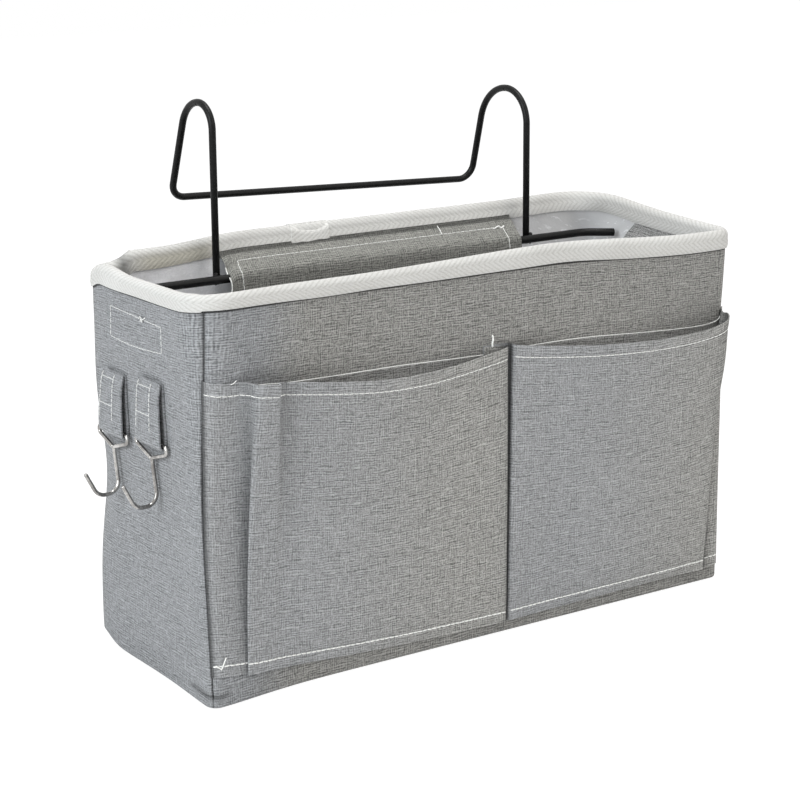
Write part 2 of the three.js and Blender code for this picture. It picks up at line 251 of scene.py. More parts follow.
def woven_cloth(name, warm, cool, seed, contrast, cool_until=1, cool_after=2000):
    """Cloth with lighter and darker threads both ways; painted light tints it cool at its ends and warm
    between.
    """
    made = Finish(name, {"Sheen Weight": 0.08, "Specular IOR Level": 0.2})

    def threads(lengths, spacing, along, across, first):
        slip = made.noise(along * 0.5, across * 0.5, first) * 13
        thick = made.noise(along, across, first + 1.7, 1.0).between(0.32, 0.70)
        return made.base.math("SINE", lengths * (FULL_TURN / spacing) + slip) * thick

    weft = threads(made.across, WEFT, 0.15, 0.7, seed)
    warp = threads(made.along, WARP, 0.7, 0.15, seed + 3.1)
    grit = made.noise(1.1, 1.3, seed + 5.7, 1.0) - 0.5
    nub = made.noise(0.9, 0.22, seed + 8.3, 1.0).between(0.66, 0.76)
    cloud = made.noise(0.014, 0.018, seed + 11.9) - 0.5
    # painted light: the cool tint stands for the cool lamp on the left, the warm one for the warmer front
    # light
    cool_end = made.along.between(cool_after, cool_after + 30)
    hue = 1 - made.along.between(0.3 * cool_until, cool_until) + cool_end
    tone = (weft * 0.56 + warp * 0.40 + grit * 1.7 + cloud * 0.14) * (contrast - hue * 0.26) + 0.5
    dark, light, slub = (hue.tint([c * s for c in warm], [c * s for c in cool]) for s in THREAD_TONES)
    specks = (nub * 0.30).tint(tone.between(-0.25, 1.25).tint(dark, light), slub)
    shaded = (made.shade() * 0.9).tint(specks, CLOTH_SHADOW)
    made.bump(weft * 0.5 + warp * 0.3 + grit * 0.5, 0.16, 0.6)
    return made.paint(shaded, 0.96 - weft * 0.04, "grey_cloth")


GREY = woven_cloth("grey_cloth", (0.208, 0.205, 0.194), (0.211, 0.216, 0.222), 1.0, 1.0, 60, 800)
POCKET = woven_cloth("pocket_cloth", (0.246, 0.243, 0.231), (0.240, 0.244, 0.248), 41.0, 0.95, 180)
# painted light: this finish is a lighter copy of the grey cloth
BACKING = woven_cloth("backing_cloth", BACKING_GREY, BACKING_GREY, 57.0, 1.0)
FLAP = woven_cloth("flap_cloth", FLAP_GREY, FLAP_GREY, 23.0, 1.0)
print("cloth thread spacing in mm:", WEFT, WARP)

# %% [markdown]
# ## Binding tape, lining and thread
#
# The binding is a cotton tape in a herringbone weave: slanted lines that turn back along its middle. A
# zigzag is a slant whose direction follows the distance from the tape's middle line. The lining is a thin
# coated sheet with a slight sheen and small creases, and the sewing thread is a white twist of two
# strands.

# %% Tape, lining and thread finishes
HERRINGBONE_PITCH = 3.6
HERRINGBONE_WIDTH = 5.6
HERRINGBONE_SLANT = 1.5
TAPE_INNER_FROM, TAPE_INNER = 12, 17
TAPE_DARK, TAPE_LIGHT = (0.36, 0.35, 0.33), (0.58, 0.578, 0.56)
# the next two pairs paint light onto the inner half of the back tape, and shade onto its left end by the
# corner
LIT_TAPE_DARK, LIT_TAPE_LIGHT = (0.52, 0.51, 0.485), (0.82, 0.815, 0.79)
SHADED_TAPE_DARK, SHADED_TAPE_LIGHT = (0.35, 0.335, 0.285), (0.60, 0.575, 0.50)
TAPE_SHADE = 0.10, 0.10, 0.095


def herringbone_tape(name, lit_from, shaded_from, shaded_until):
    """Twill tape whose inner half carries painted light from one length on, then painted shade up to another.
    """
    made = Finish(name, {"Sheen Weight": 0.15, "Specular IOR Level": 0.25})
    zigzag = made.base.math("PINGPONG", made.across, HERRINGBONE_WIDTH)
    wander = made.noise(0.2, 0.2, 4.0) * 0.8
    phase = (made.along + zigzag * HERRINGBONE_SLANT + wander) * (FULL_TURN / HERRINGBONE_PITCH)
    rib = made.base.math("SINE", phase) * 0.5 + 0.5
    yarn = made.noise(0.8, 1.6, 2.0)
    soil = made.noise(0.02, 0.05, 7.0)
    tone = rib.between(0.0, 0.6) * 0.19 + yarn * 0.6 + soil * 0.4 - 0.14
    inner = made.across.between(TAPE_INNER_FROM, TAPE_INNER)
    shade_begins = made.along.between(shaded_from, shaded_from + 20)
    painted_light = (made.along.between(lit_from, lit_from + 20) - shade_begins) * inner
    painted_tape_shade = (shade_begins - made.along.between(shaded_until, shaded_until + 20)) * inner
    low = painted_tape_shade.tint(painted_light.tint(TAPE_DARK, LIT_TAPE_DARK), SHADED_TAPE_DARK)
    high = painted_tape_shade.tint(painted_light.tint(TAPE_LIGHT, LIT_TAPE_LIGHT), SHADED_TAPE_LIGHT)
    colour = tone.between(0.0, 0.9).tint(low, high)
    made.bump(rib * 0.5 + yarn * 0.5, 0.2, 0.6)
    return made.paint((made.shade() * 0.8).tint(colour, TAPE_SHADE), 0.96 - rib * 0.1, "binding_tape")


def coated_lining(name):
    made = Finish(name, {"Sheen Weight": 0.1})
    crease = made.noise(0.09, 0.12, 3.0, 3.0)
    weave = made.noise(0.9, 0.9, 9.0, 1.0)
    glint = made.noise(0.22, 0.28, 15.0, 2.0).between(0.58, 0.68)
    colour = (crease * 0.7 + weave * 0.3).between(0.3, 0.7).tint((0.70, 0.70, 0.715), (0.90, 0.90, 0.92))
    made.bump(crease * 0.8 + glint * 0.3 + weave * 0.12, 0.8, 0.5)
    # painted shade: a lining darkens towards the start of its length, which on the back wall is its right end
    painted_end_shade = (1 - made.along.between(20, 150)) * 0.75
    shaded = painted_end_shade.tint(colour, (0.48, 0.48, 0.475))
    return made.paint((glint * 0.5).tint(shaded, (0.92, 0.92, 0.94)), 0.55 - glint * 0.2, "pale_lining")


def sewing_thread(name, dark, light):
    made = Finish(name, {"Sheen Weight": 0.2, "Specular IOR Level": 0.3})
    twist = made.grain(2600.0, 1.0)
    colour = twist.between(0.35, 0.62).tint(dark, light)
    made.bump(twist, 0.12, 0.6)
    return made.paint(colour, 0.92 - twist * 0.2, "binding_tape")


TAPE = herringbone_tape("rim_tape_weave", 448, 715, 762)
LAP = herringbone_tape("lap_tape_weave", -60, 200, 300)
PALE = coated_lining("pale_lining")
WHITE_THREAD = sewing_thread("white_thread", (0.60, 0.60, 0.58), (0.88, 0.88, 0.85))
WORN_THREAD = sewing_thread("worn_thread", (0.48, 0.48, 0.47), (0.72, 0.72, 0.70))
TAPE_THREAD = sewing_thread("tape_thread", (0.40, 0.39, 0.37), (0.60, 0.59, 0.57))
print("herringbone line spacing in mm:", HERRINGBONE_PITCH)

# %% [markdown]
# ## Wire, fastener and board
#
# The bracket is black painted wire with a satin skin that shows thin bright lines. The hooks are bare
# bent steel. The fastener tapes are hook-and-loop, rough and dark, and the board is grey fibre that no
# one sees.

# %% Wire, fastener and board finishes
def black_paint(name):
    made = Finish(name, {"Specular IOR Level": 0.14})
    mottle = made.grain(900.0, 3.0)
    drag = made.grain(160.0, 2.0)
    colour = mottle.between(0.35, 0.75).tint((0.004, 0.004, 0.004), (0.010, 0.010, 0.010))
    made.bump(mottle, 0.08, 0.5)
    return made.paint(colour, drag * 0.25 + 0.24, "black_wire")


def bent_steel(name):
    made = Finish(name, {"Metallic": 1.0})
    drawn = made.grain(700.0, 3.0)
    stain = made.grain(90.0, 2.0)
    colour = (stain * 0.7 + drawn * 0.3).between(0.3, 0.7).tint((0.24, 0.23, 0.22), (0.60, 0.59, 0.57))
    made.bump(drawn, 0.05, 0.4)
    return made.paint(colour, stain * 0.16 + 0.08, "hook_steel")


def loop_pile(name):
    made = Finish(name, {"Sheen Weight": 0.3})
    pile = made.grain(1400.0, 2.0)
    tuft = made.grain(320.0, 2.0)
    colour = (pile * 0.6 + tuft * 0.4).between(0.3, 0.7).tint((0.10, 0.10, 0.10), (0.26, 0.26, 0.255))
    made.bump(pile, 0.8, 0.9)
    return made.paint(colour, 1.0 - pile * 0.1, "fastener")


def fibre_board(name):
    made = Finish(name, {"Specular IOR Level": 0.2})
    fibre = made.grain(500.0, 4.0)
    colour = fibre.between(0.3, 0.7).tint((0.55, 0.53, 0.49), (0.72, 0.70, 0.65))
    made.bump(fibre, 0.15, 0.5)
    return made.paint(colour, 0.95 - fibre * 0.1, "stiffener")


WIRE = black_paint("black_wire")
STEEL = bent_steel("hook_steel")
PILE = loop_pile("fastener_pile")
BOARD = fibre_board("stiff_board")
print("finishes:", len(bpy.data.materials))

# %% [markdown]
# ## Grids of cloth
#
# Almost every soft piece here is a grid of points: rows that run one way over the cloth and columns the
# other. numpy moves whole grids at once, which keeps the shapes readable. A grid becomes a mesh of quads
# that carries a map of its lengths for the weave, and is then given its thickness.

# %% Grid helpers
EDGE_ANGLE = math.radians(50)


def ease(value, start, end):
    """0 before start, 1 after end, with a soft step between."""
    share = np.clip((value - start) / (end - start), 0, 1)
    return share * share * (3 - 2 * share)


def swell(value, middle, width):
    """1 at the middle, falling off smoothly over the width."""
    return np.exp(-(((value - middle) / width) ** 2))


def ripple(a, b, seed=0.0):
    """Gentle uneven waves between about -1 and 1."""
    first = np.sin(a * 1.0 + b * 0.37 + seed)
    second = np.sin(a * 0.53 - b * 0.81 + seed * 2.3 + 1.0)
    third = np.sin(a * 1.7 + b * 1.21 + seed * 0.7 + 2.0)
    return (first + second + 0.6 * third) / 2.6


def through(stations, per_span):
    """A smooth curve through rows of values, with the given number of steps between two rows."""
    padded = np.vstack([2 * stations[0] - stations[1], stations, 2 * stations[-1] - stations[-2]])
    share = np.linspace(0, 1, per_span, endpoint=False)[:, None]
    spans = []
    for a, b, c, d in zip(padded, padded[1:], padded[2:], padded[3:]):
        curve = (2 * a - 5 * b + 4 * c - d) * share**2 + (3 * b - a - 3 * c + d) * share**3
        spans.append(b + 0.5 * ((c - a) * share + curve))
    return np.vstack([*spans, stations[-1:]])


def row_lengths(points):
    """Length along each row of a grid, from its first column."""
    steps = np.linalg.norm(np.diff(points, axis=1), axis=2)
    return np.hstack([np.zeros((len(points), 1)), np.cumsum(steps, axis=1)])


def cloth_lengths(points):
    """Each point's length along the mean row and the mean column."""
    along = row_lengths(points).mean(axis=0)
    across = row_lengths(points.swapaxes(0, 1)).mean(axis=0)
    return np.stack(np.meshgrid(along, across), axis=-1)


def one_long(vectors):
    """The same directions, each with a length of 1."""
    return vectors / np.linalg.norm(vectors, axis=-1, keepdims=True)


def grid_normals(points):
    """Unit normals of a grid whose columns run along the cloth and rows across it."""
    return one_long(np.cross(np.gradient(points, axis=1), np.gradient(points, axis=0)))


def grid_of(x, y, z):
    """A grid of points, from values for each row, for each column or for all."""
    return np.stack(np.broadcast_arrays(x, y, z), axis=-1)


def wrapped(grid):
    """A grid that repeats its first column at its end."""
    return np.concatenate([grid, grid[:, :1]], axis=1)


def corners(grid):
    """What a grid holds at the four corners of each of its quads."""
    return np.stack([grid[:-1, :-1], grid[:-1, 1:], grid[1:, 1:], grid[1:, :-1]], axis=2)


def ring_faces(rings, sides):
    """Faces round a stack of rings, with a face to close each end."""
    index = np.arange(rings * sides).reshape(rings, sides)
    return [*corners(wrapped(index)).reshape(-1, 4), index[0][::-1], index[-1]]


print("a soft step half way:", ease(0.5, 0, 1))

# %% Mesh helpers
def add_mesh(name, points, faces, lengths=None):
    """An object from points in millimetres; lengths are the cloth map's values at each face corner."""
    mesh = bpy.data.meshes.new(name)
    mesh.from_pydata((np.asarray(points) * MM).tolist(), [], [list(map(int, face)) for face in faces])
    if lengths is not None:
        layer = mesh.uv_layers.new(name=CLOTH_MAP)
        layer.data.foreach_set("uv", np.asarray(lengths, np.float32).ravel())
    mesh.shade_smooth()
    made = bpy.data.objects.new(name, mesh)
    bpy.context.scene.collection.objects.link(made)
    return made


def grid_mesh(name, points, closed=False):
    """A grid as quads. A closed grid joins its last column to its first."""
    index = np.arange(points[..., 0].size).reshape(points.shape[:2])
    turned = points
    if closed:
        index, turned = wrapped(index), wrapped(points)
    quads = corners(index).reshape(-1, 4)
    return add_mesh(name, points.reshape(-1, 3), quads, corners(cloth_lengths(turned)))


def thicken(made, thickness, offset):
    """Gives a sheet its thickness for good: offset -1 is behind it, 0 half each way and 1 in front."""
    solidify = made.modifiers.new("thickness", "SOLIDIFY")
    solidify.thickness = thickness * MM
    solidify.offset = offset
    solidify.use_even_offset = True
    evaluated = made.evaluated_get(bpy.context.evaluated_depsgraph_get())
    solid = bpy.data.meshes.new_from_object(evaluated)
    made.modifiers.clear()
    made.data = solid
    solid.set_sharp_from_angle(angle=EDGE_ANGLE)


def dress(made, material, slot, nodes=(), body="basket"):
    """Gives a piece its finish and its body, and hides the solids that it stands for."""
    made.data.materials.append(material)
    if body:
        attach(made, body)
    if nodes:
        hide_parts(*nodes)
    print(f"{made.name}: {len(made.data.polygons)} faces")
    return made


def shape_piece(name, shape, finish, nodes=(), body="basket"):
    """Points and faces as a piece, with its finish."""
    return dress(add_mesh(name, *shape), *finish, nodes, body)


def cut_size(points, closed=False):
    """The width and length that a grid was cut to when flat, in metres."""
    width, length = cloth_lengths(wrapped(points) if closed else points)[-1, -1]
    return round(width * MM, 4), round(length * MM, 4)


def layer_piece(name, points, thickness, offset, finish, nodes, closed=False, body="basket"):
    """A grid as a layer of some thickness, with its finish."""
    made = grid_mesh(name, points, closed)
    thicken(made, thickness, offset)
    return dress(made, *finish, nodes, body)


def cloth_piece(name, points, thickness, offset, finish, nodes, closed=False, body="basket"):
    """A layer of cloth; the size that it was cut to is worked out, but not kept."""
    made = layer_piece(name, points, thickness, offset, finish, nodes, closed, body)
    cut_size(points, closed)
    return made


def shade(made, shares, inside=0):
    """Darkens a layer where folds and seams keep the light out; inside adds to its other face."""
    layer = made.data.attributes.new(PAINTED_SHADE_LAYER, "FLOAT", "POINT")
    values = np.concatenate([np.clip(shares + extra, 0, 1).ravel() for extra in (0, inside)])
    layer.data.foreach_set("value", values.astype(np.float32))


print("mesh helpers ready")

# %% [markdown]
# ## How the basket sits
#
# Real cloth over board is never quite straight: the left wall is pressed in near its rear edge, the rim
# opens at the right front corner and drops there, and the bracket holds the middle of the back rim up.
# One function moves points from the straight basket to the settled one. Every piece sewn to the basket
# goes through it, so they stay together.

# %% Basket sizes and its settled shape
HALF_WIDTH, HALF_DEPTH, CLOTH = solid_box("bottom_outer_panel")[1]
TAPE_EDGE, RIM_TOP = (corner[2] for corner in solid_box("rim_binding"))
WALL_TOP = solid_box("front_outer_panel")[1][2]
REAR_DENT = 5.5
RIM_FLARE, RIM_FLARE_FORWARD, RIM_DROP = 3.5, 2.5, 5.0
BACK_RAISE, RIGHT_RAISE, BACK_LEAN, LEFT_DIP = 3.3, 0.8, 0.4, 2.4
CORNER_LIFT = 7.0
REAR_LEAN = 1.6
CORNER_FOLD = 5.0
FOOT_SPREAD, FOOT_SIDEWAYS, SEAM_BOW = 6.0, 3.0, 2.4
CREST_SAG, LEFT_CREST = 3.0, 0.75


def settle(points):
    """Moves points of the straight basket to where the real cloth sits."""
    x, y, z = np.moveaxis(np.asarray(points, float), -1, 0)
    upper = ease(z, 0.65 * RIM_TOP, RIM_TOP)
    rear_left = swell(x, -HALF_WIDTH, 40) * ease(y, 38, 60) * swell(z, 0.46 * RIM_TOP, 36)
    right_front = swell(x, HALF_WIDTH, 80) * swell(y, -HALF_DEPTH, 70)
    front_right = ease(x, 40, 150) * swell(y, -HALF_DEPTH, 60)
    back_raise = BACK_RAISE * ease(x, -135, -75) + RIGHT_RAISE * ease(x, 90, 150)
    back_raise = back_raise * ease(y, -10, HALF_DEPTH)
    left_rim = ease(-(x + y), 100, 122) * ease(y, -70, -35) * ease(-x, 120, 160)
    corner_fold = ease(-x, 152, 158) * ease(y, 46, 58) * ease(z, 0.86 * RIM_TOP, RIM_TOP)
    front_seam = swell(x, -HALF_WIDTH, 25) * swell(y, -HALF_DEPTH, 30) * swell(z, 105, 62)
    foot_corner = swell(x, -HALF_WIDTH, 38) * swell(y, -HALF_DEPTH, 34) * ease(-z, -42, -4)
    base_corner = swell(x, -HALF_WIDTH, 14) * swell(y, HALF_DEPTH, 14) * ease(-z, -40, 0)
    rear_rim = swell(x, -HALF_WIDTH, 40) * ease(y, 20, 58) * ease(z, 0.6 * RIM_TOP, 0.85 * RIM_TOP)
    front_crest = ease(-y, 44, 54) * ease(-x, -60, 90)
    left_crest = LEFT_CREST * ease(-x, 155, 165) * ease(-y, -40, -10)
    crest = np.maximum(front_crest, left_crest) * ease(z, TAPE_EDGE, RIM_TOP)
    x = x + REAR_DENT * rear_left + REAR_LEAN * rear_rim + RIM_FLARE * right_front * upper
    x = x - FOOT_SIDEWAYS * foot_corner - SEAM_BOW * front_seam
    y = y + upper * (BACK_LEAN * back_raise - RIM_FLARE_FORWARD * right_front) - FOOT_SPREAD * foot_corner
    z = z + upper * (back_raise - RIM_DROP * front_right - LEFT_DIP * left_rim)
    z = z + CORNER_LIFT * base_corner - CORNER_FOLD * corner_fold - CREST_SAG * crest
    return grid_of(x, y, z)


print("basket in mm:", 2 * HALF_WIDTH, 2 * HALF_DEPTH, RIM_TOP)

# %% [markdown]
# ## The outline of the walls
#
# Seen from above, the basket is a rectangle with round corners, tight at the base and wider at the taped
# rim. Each turn round it starts at the front left seam and has the same columns at every height, so that
# turns can be stacked into a loft. The columns are close together beside the four corner seams, where the
# cloth is drawn into a groove.

# %% Outline
SIDES = ("front", "right", "back", "left")
SIDE_STEPS = (52, 20, 52, 20)
SEAM_ANGLES = np.radians([0, 3, 6, 13, 24, 35, 45])
SEAM_DEPTHS = np.array([1.0, 0.55, 0.0, -0.12, -0.06, 0.0, 0.0])
SEAM_SHADES = np.array([1.0, 0.2, 0.0, 0.0, 0.0, 0.0, 0.0])
CORNER_SIGNS = np.array([(-1, -1), (1, -1), (1, 1), (-1, 1)])
CORNER_NORMALS = np.radians([225, 315, 405, 495])
BASE_RADII = (7.0, 5.0, 8.0, 6.0)
WALL_RADII = (7.5, 5.5, 8.0, 6.5)
RIM_RADII = (19.0, 13.0, 30.0, 7.5)
ROUND_FROM = (0.5, 0.5, 0.86, 0.5)


def unit(angles):
    return np.stack([np.cos(angles), np.sin(angles)], axis=-1)


def corner_radius(corner, z):
    base, wall, rim = BASE_RADII[corner], WALL_RADII[corner], RIM_RADII[corner]
    opened = ease(z, ROUND_FROM[corner] * RIM_TOP, 0.98 * RIM_TOP)
    return base + (wall - base) * ease(z, 4, 60) + (rim - wall) * opened


def outline(z, inset):
    """One turn round the basket at a height, drawn in from the outside by the inset."""
    half = np.array([HALF_WIDTH, HALF_DEPTH]) - inset
    radii = [max(corner_radius(corner, z) - inset, 0.5) for corner in range(4)]
    centres = [CORNER_SIGNS[corner] * (half - radii[corner]) for corner in range(4)]
    parts = []
    for corner in range(4):
        after = (corner + 1) % 4
        leaving = centres[corner] + radii[corner] * unit(CORNER_NORMALS[corner] + SEAM_ANGLES)
        arriving = centres[after] + radii[after] * unit(CORNER_NORMALS[after] - SEAM_ANGLES[::-1])
        share = np.linspace(0, 1, SIDE_STEPS[corner] + 2)[1:-1, None]
        parts += [leaving, leaving[-1] * (1 - share) + arriving[0] * share, arriving[:-1]]
    return np.vstack(parts)


def per_column(beside_seam):
    """Values for each column of a turn, from those beside one seam; they are 0 on a straight wall."""
    parts = []
    for steps in SIDE_STEPS:
        parts += [beside_seam, np.zeros(steps), beside_seam[::-1][:-1]]
    return np.concatenate(parts)


SEAM_GROOVE, SEAM_SHADE = per_column(SEAM_DEPTHS), per_column(SEAM_SHADES)
SIDE_COLUMNS = [2 * len(SEAM_ANGLES) + steps - 1 for steps in SIDE_STEPS]
SIDE_STARTS = np.cumsum([0, *SIDE_COLUMNS[:-1]])


def wall_rows(heights, insets):
    """Turns round the basket, one for each height and inset, as a grid."""
    turns = [np.column_stack([outline(z, inset), np.full(sum(SIDE_COLUMNS), z)])
             for z, inset in zip(heights, np.broadcast_to(insets, len(heights)))]
    return np.stack(turns)


def turn_normals(points):
    """Level directions out of a grid of turns."""
    across = np.roll(points, -1, axis=1) - np.roll(points, 1, axis=1)
    return one_long(grid_of(across[..., 1], -across[..., 0], 0.0))


def drawn_in(points, depth):
    """Draws a grid of turns in towards the middle, by each column's depth."""
    return points - turn_normals(points) * depth[..., None]


print("columns in a turn:", sum(SIDE_COLUMNS))

# %% [markdown]
# ## Outer cloth
#
# The outside is one bag of cloth pulled over the boards: a loft that starts under the base edge, turns up
# round it and climbs to the rim. Slow waves in it keep it from looking like sheet metal, and the corner
# seams are real grooves. The base is a panel of its own, sewn on underneath.

# %% Outer cloth and base
BASE_ROUND = 1.8
WALL_STEP = 5.0
SEAM_GROOVE_DEPTH = 1.1
WALL_WAVE = 0.45
EAR_DEPTH, EAR_SHADE, UNDER_TAPE_SHADE = 0.8, 0.8, 0.95
EAR_ROWS = 3.6, 5.4, 6.6, 7.8, 9.6
ROWS_BY_TAPE = np.array([-1.5, -0.9, -0.3, 0.4, 4.0])


def ear_fold(points):
    """1 along the short fold at the foot of the left wall, beside the front corner."""
    x, y, z = np.moveaxis(points, -1, 0)
    return (x < 4 - HALF_WIDTH) * ease(-y, 40, 50) * swell(z, 6.6 + 0.06 * (y + HALF_DEPTH), 1.1)


def outer_wall():
    turn = np.linspace(0, QUARTER_TURN, 6)
    plain_rows = np.arange(13.0, TAPE_EDGE - 3, WALL_STEP)
    climbs = np.concatenate([EAR_ROWS, plain_rows, TAPE_EDGE + ROWS_BY_TAPE])
    heights = np.concatenate([BASE_ROUND * (1 - np.cos(turn)), climbs, [WALL_TOP]])
    insets = np.concatenate([BASE_ROUND * (1 - np.sin(turn)), np.zeros(len(climbs) + 1)])
    points = wall_rows(heights, insets)
    z = points[..., 2]
    calm = ease(z, 6, 60) * ease(-z, -WALL_TOP, -WALL_TOP + 50)
    waves = WALL_WAVE * ripple(np.arange(points.shape[1]) * 0.11, z / 26) * calm
    sewn = SEAM_GROOVE_DEPTH * SEAM_GROOVE * ease(z, 0, 8)
    return settle(drawn_in(points, waves + sewn + EAR_DEPTH * ear_fold(points)))


def base_panel(inset, z):
    """A flat panel with the base's round corners."""
    half_x, half_y = HALF_WIDTH - inset, HALF_DEPTH - inset
    radius = max(BASE_RADII[0] - inset, 1.0)
    turn = np.linspace(0, QUARTER_TURN, 6)
    rim = np.concatenate([half_y - radius + radius * np.cos(turn), [0]])
    y = np.concatenate([-rim, rim[::-1][1:]])
    past = np.clip(np.abs(y) - (half_y - radius), 0, radius)
    reach = half_x - radius + np.sqrt(radius**2 - past**2)
    return settle(grid_of(np.linspace(-1, 1, 40) * reach[:, None], y[:, None], z))


wall_points = outer_wall()
outer_cloth = cloth_piece(
    "outer_cloth", wall_points, CLOTH, -1, GREY,
    [f"{side}_outer_panel" for side in SIDES], closed=True,
)
under_tape = np.zeros((len(wall_points), 1))
under_tape[-5:-2] = UNDER_TAPE_SHADE
shade(outer_cloth, SEAM_SHADE + under_tape + EAR_SHADE * ear_fold(wall_points))
cloth_piece("base_cloth", base_panel(BASE_ROUND, 0.0), CLOTH, 1, GREY, ["bottom_outer_panel"])

# %% [markdown]
# ## Boards and lining
#
# Behind the cloth each wall has a stiff board, and inside that a lining. They follow the same outline a
# few millimetres further in, so they are cut from the same turns, one wall at a time. In the photograph
# the long walls' lining is pale and shiny and the short walls' inside is grey cloth; the back lining goes
# round the right corner before it stops.

# %% Boards and lining
BOARD_LOW, BOARD_HIGH = solid_box("bottom_stiffener_board")
LINING_LOW, LINING_HIGH = solid_box("bottom_lining")
BOARD_INSET, LINING_INSET = BOARD_LOW[2], LINING_LOW[2]
BOARD_THICK, LINING_THICK = BOARD_HIGH[2] - BOARD_LOW[2], LINING_HIGH[2] - LINING_LOW[2]
BOARD_TRIM = 3
LINING_WRAP = 11


def wall_sheet(side, inset, foot, before=0, after=0):
    """One wall's layer; before and after trim columns at its ends, or add the next wall's if negative."""
    heights = np.linspace(foot, WALL_TOP, 36)
    columns = range(SIDE_STARTS[side] + before, SIDE_STARTS[side] + SIDE_COLUMNS[side] + 1 - after)
    return settle(np.take(wall_rows(heights, inset), columns, axis=1, mode="wrap"))


for side, name in enumerate(SIDES):
    board = wall_sheet(side, BOARD_INSET, LINING_INSET, BOARD_TRIM, BOARD_TRIM)
    layer_piece(f"{name}_board", board, BOARD_THICK, -1, BOARD, [f"{name}_stiffener_board"])
    lining = PALE if name in ("front", "back") else BACKING
    before = -LINING_WRAP if name == "back" else 0
    after = LINING_WRAP if name == "right" else 0
    inner = wall_sheet(side, LINING_INSET, LINING_HIGH[2], before, after)
    cloth_piece(f"{name}_lining_cloth", inner, LINING_THICK, -1, lining, [f"{name}_lining"])
layer_piece("base_board", base_panel(BOARD_INSET, BOARD_INSET), BOARD_THICK, 1, BOARD,
            ["bottom_stiffener_board"])
cloth_piece("floor_lining", base_panel(LINING_INSET, LINING_INSET), LINING_THICK, 1, PALE, ["bottom_lining"])

# %% [markdown]
# ## Rim tape
#
# The tape is folded over the raw edges of cloth, board and lining and sewn through. Its section is a soft
# upside-down U, swept round the rim. Its edge wanders a little, as hand-fed tape does, and its two ends
# lap on the back wall.

# %% Rim tape
TAPE_THICK = 0.9
WALL = LINING_INSET + LINING_THICK
TAPE_GAP = 0.25
TAPE_SHOULDER = 3.2
TAPE_PUFF, TAPE_WANDER = 0.25, 0.45
FOLD_X, FOLD_WIDTH = -155, 1.5
LAP_MIDDLE, LAP_HALF, LAP_RAISE = -35.0, 12.5, 0.5
LAP_SAG, LAP_RAGGED, LAP_CREASE = 2.2, 1.2, 0.14


def tape_section(raise_by=0.0):
    """Inset and height of the tape's section, from its outer edge over the rim to its inner edge."""
    top = RIM_TOP - TAPE_THICK
    middle, half = WALL / 2, WALL / 2 + TAPE_GAP
    turn = np.linspace(math.pi, 0, 11)
    bow_inset = middle + (half + raise_by) * np.cos(turn)
    bow_height = top - TAPE_SHOULDER + (TAPE_SHOULDER + raise_by) * np.sin(turn)
    leg = np.linspace(TAPE_EDGE, top - TAPE_SHOULDER, 5)[:-1]
    puff = TAPE_PUFF * np.sin(np.linspace(0, math.pi, len(leg)))
    outer = np.column_stack([middle - half - raise_by - puff, leg])
    inner = np.column_stack([middle + half + raise_by + puff, leg])[::-1]
    return np.vstack([outer, np.column_stack([bow_inset, bow_height]), inner])


section = tape_section()
tape_rows = wall_rows(section[:, 1], section[:, 0])
edge_share = np.abs(np.linspace(-1, 1, len(section)))[:, None] ** 3
tape_rows[..., 2] += edge_share * TAPE_WANDER * ripple(np.arange(tape_rows.shape[1]) * 0.35, 0.0)
tape_points = settle(tape_rows)
binding = cloth_piece("rim_tape", tape_points, TAPE_THICK, 1, TAPE, ["rim_binding"],
                      closed=True)
shade(binding, swell(tape_points[..., 0], FOLD_X, FOLD_WIDTH) * ease(tape_points[..., 1], 48, 54))


def lap_grid():
    """The tape's free end, laid over its start: its cut edge is ragged and its inner leg loose."""
    inset, z = tape_section(TAPE_THICK * LAP_RAISE).T[:, :, None]
    share = np.linspace(0, 1, 15)
    x = LAP_MIDDLE + LAP_HALF * (1 - 2 * share)
    loose = ease(inset, WALL / 2, WALL)
    ragged = LAP_RAGGED * ripple(inset * 1.1, z * 0.7) * (share == 1)
    y = HALF_DEPTH - inset - LAP_CREASE * loose * (1 + ripple(x * 0.6, z * 0.3))
    return grid_of(x + ragged, y, z - LAP_SAG * loose * np.sin(math.pi * share**0.8))


cloth_piece("rim_tape_lap", settle(lap_grid()), TAPE_THICK, 1, LAP, [])

# %% [markdown]
# ## Front pockets
#
# The two pockets are one idea: a face of cloth that leans out to its mouth, sewn along the foot, with a
# pleat at its outer side that lets it open. Each is described by stations from left to right, and every
# station says where the cloth is at the mouth and at the foot: its place along the wall, its distance
# from the wall and, at the mouth, its height. A smooth curve through the stations gives the columns.

# %% Pocket stations
POCKET_CLOTH = 0.8
MOUTH_SWELL = {"left": 1.0, "right": 0.5}
PLEAT_OPENS = {"left": 2.6, "right": 1.4}
PLEAT_LIES = 0.5
POCKET_WAVE = 0.35
HEM_STEP = 0.3
RIGHT_BULGE = 2.6
HEM = 6.4
FOOT_HEM = 5.6
pocket_low, pocket_high = solid_box("left_pocket")
pocket_height = pocket_high[2] - pocket_low[2]

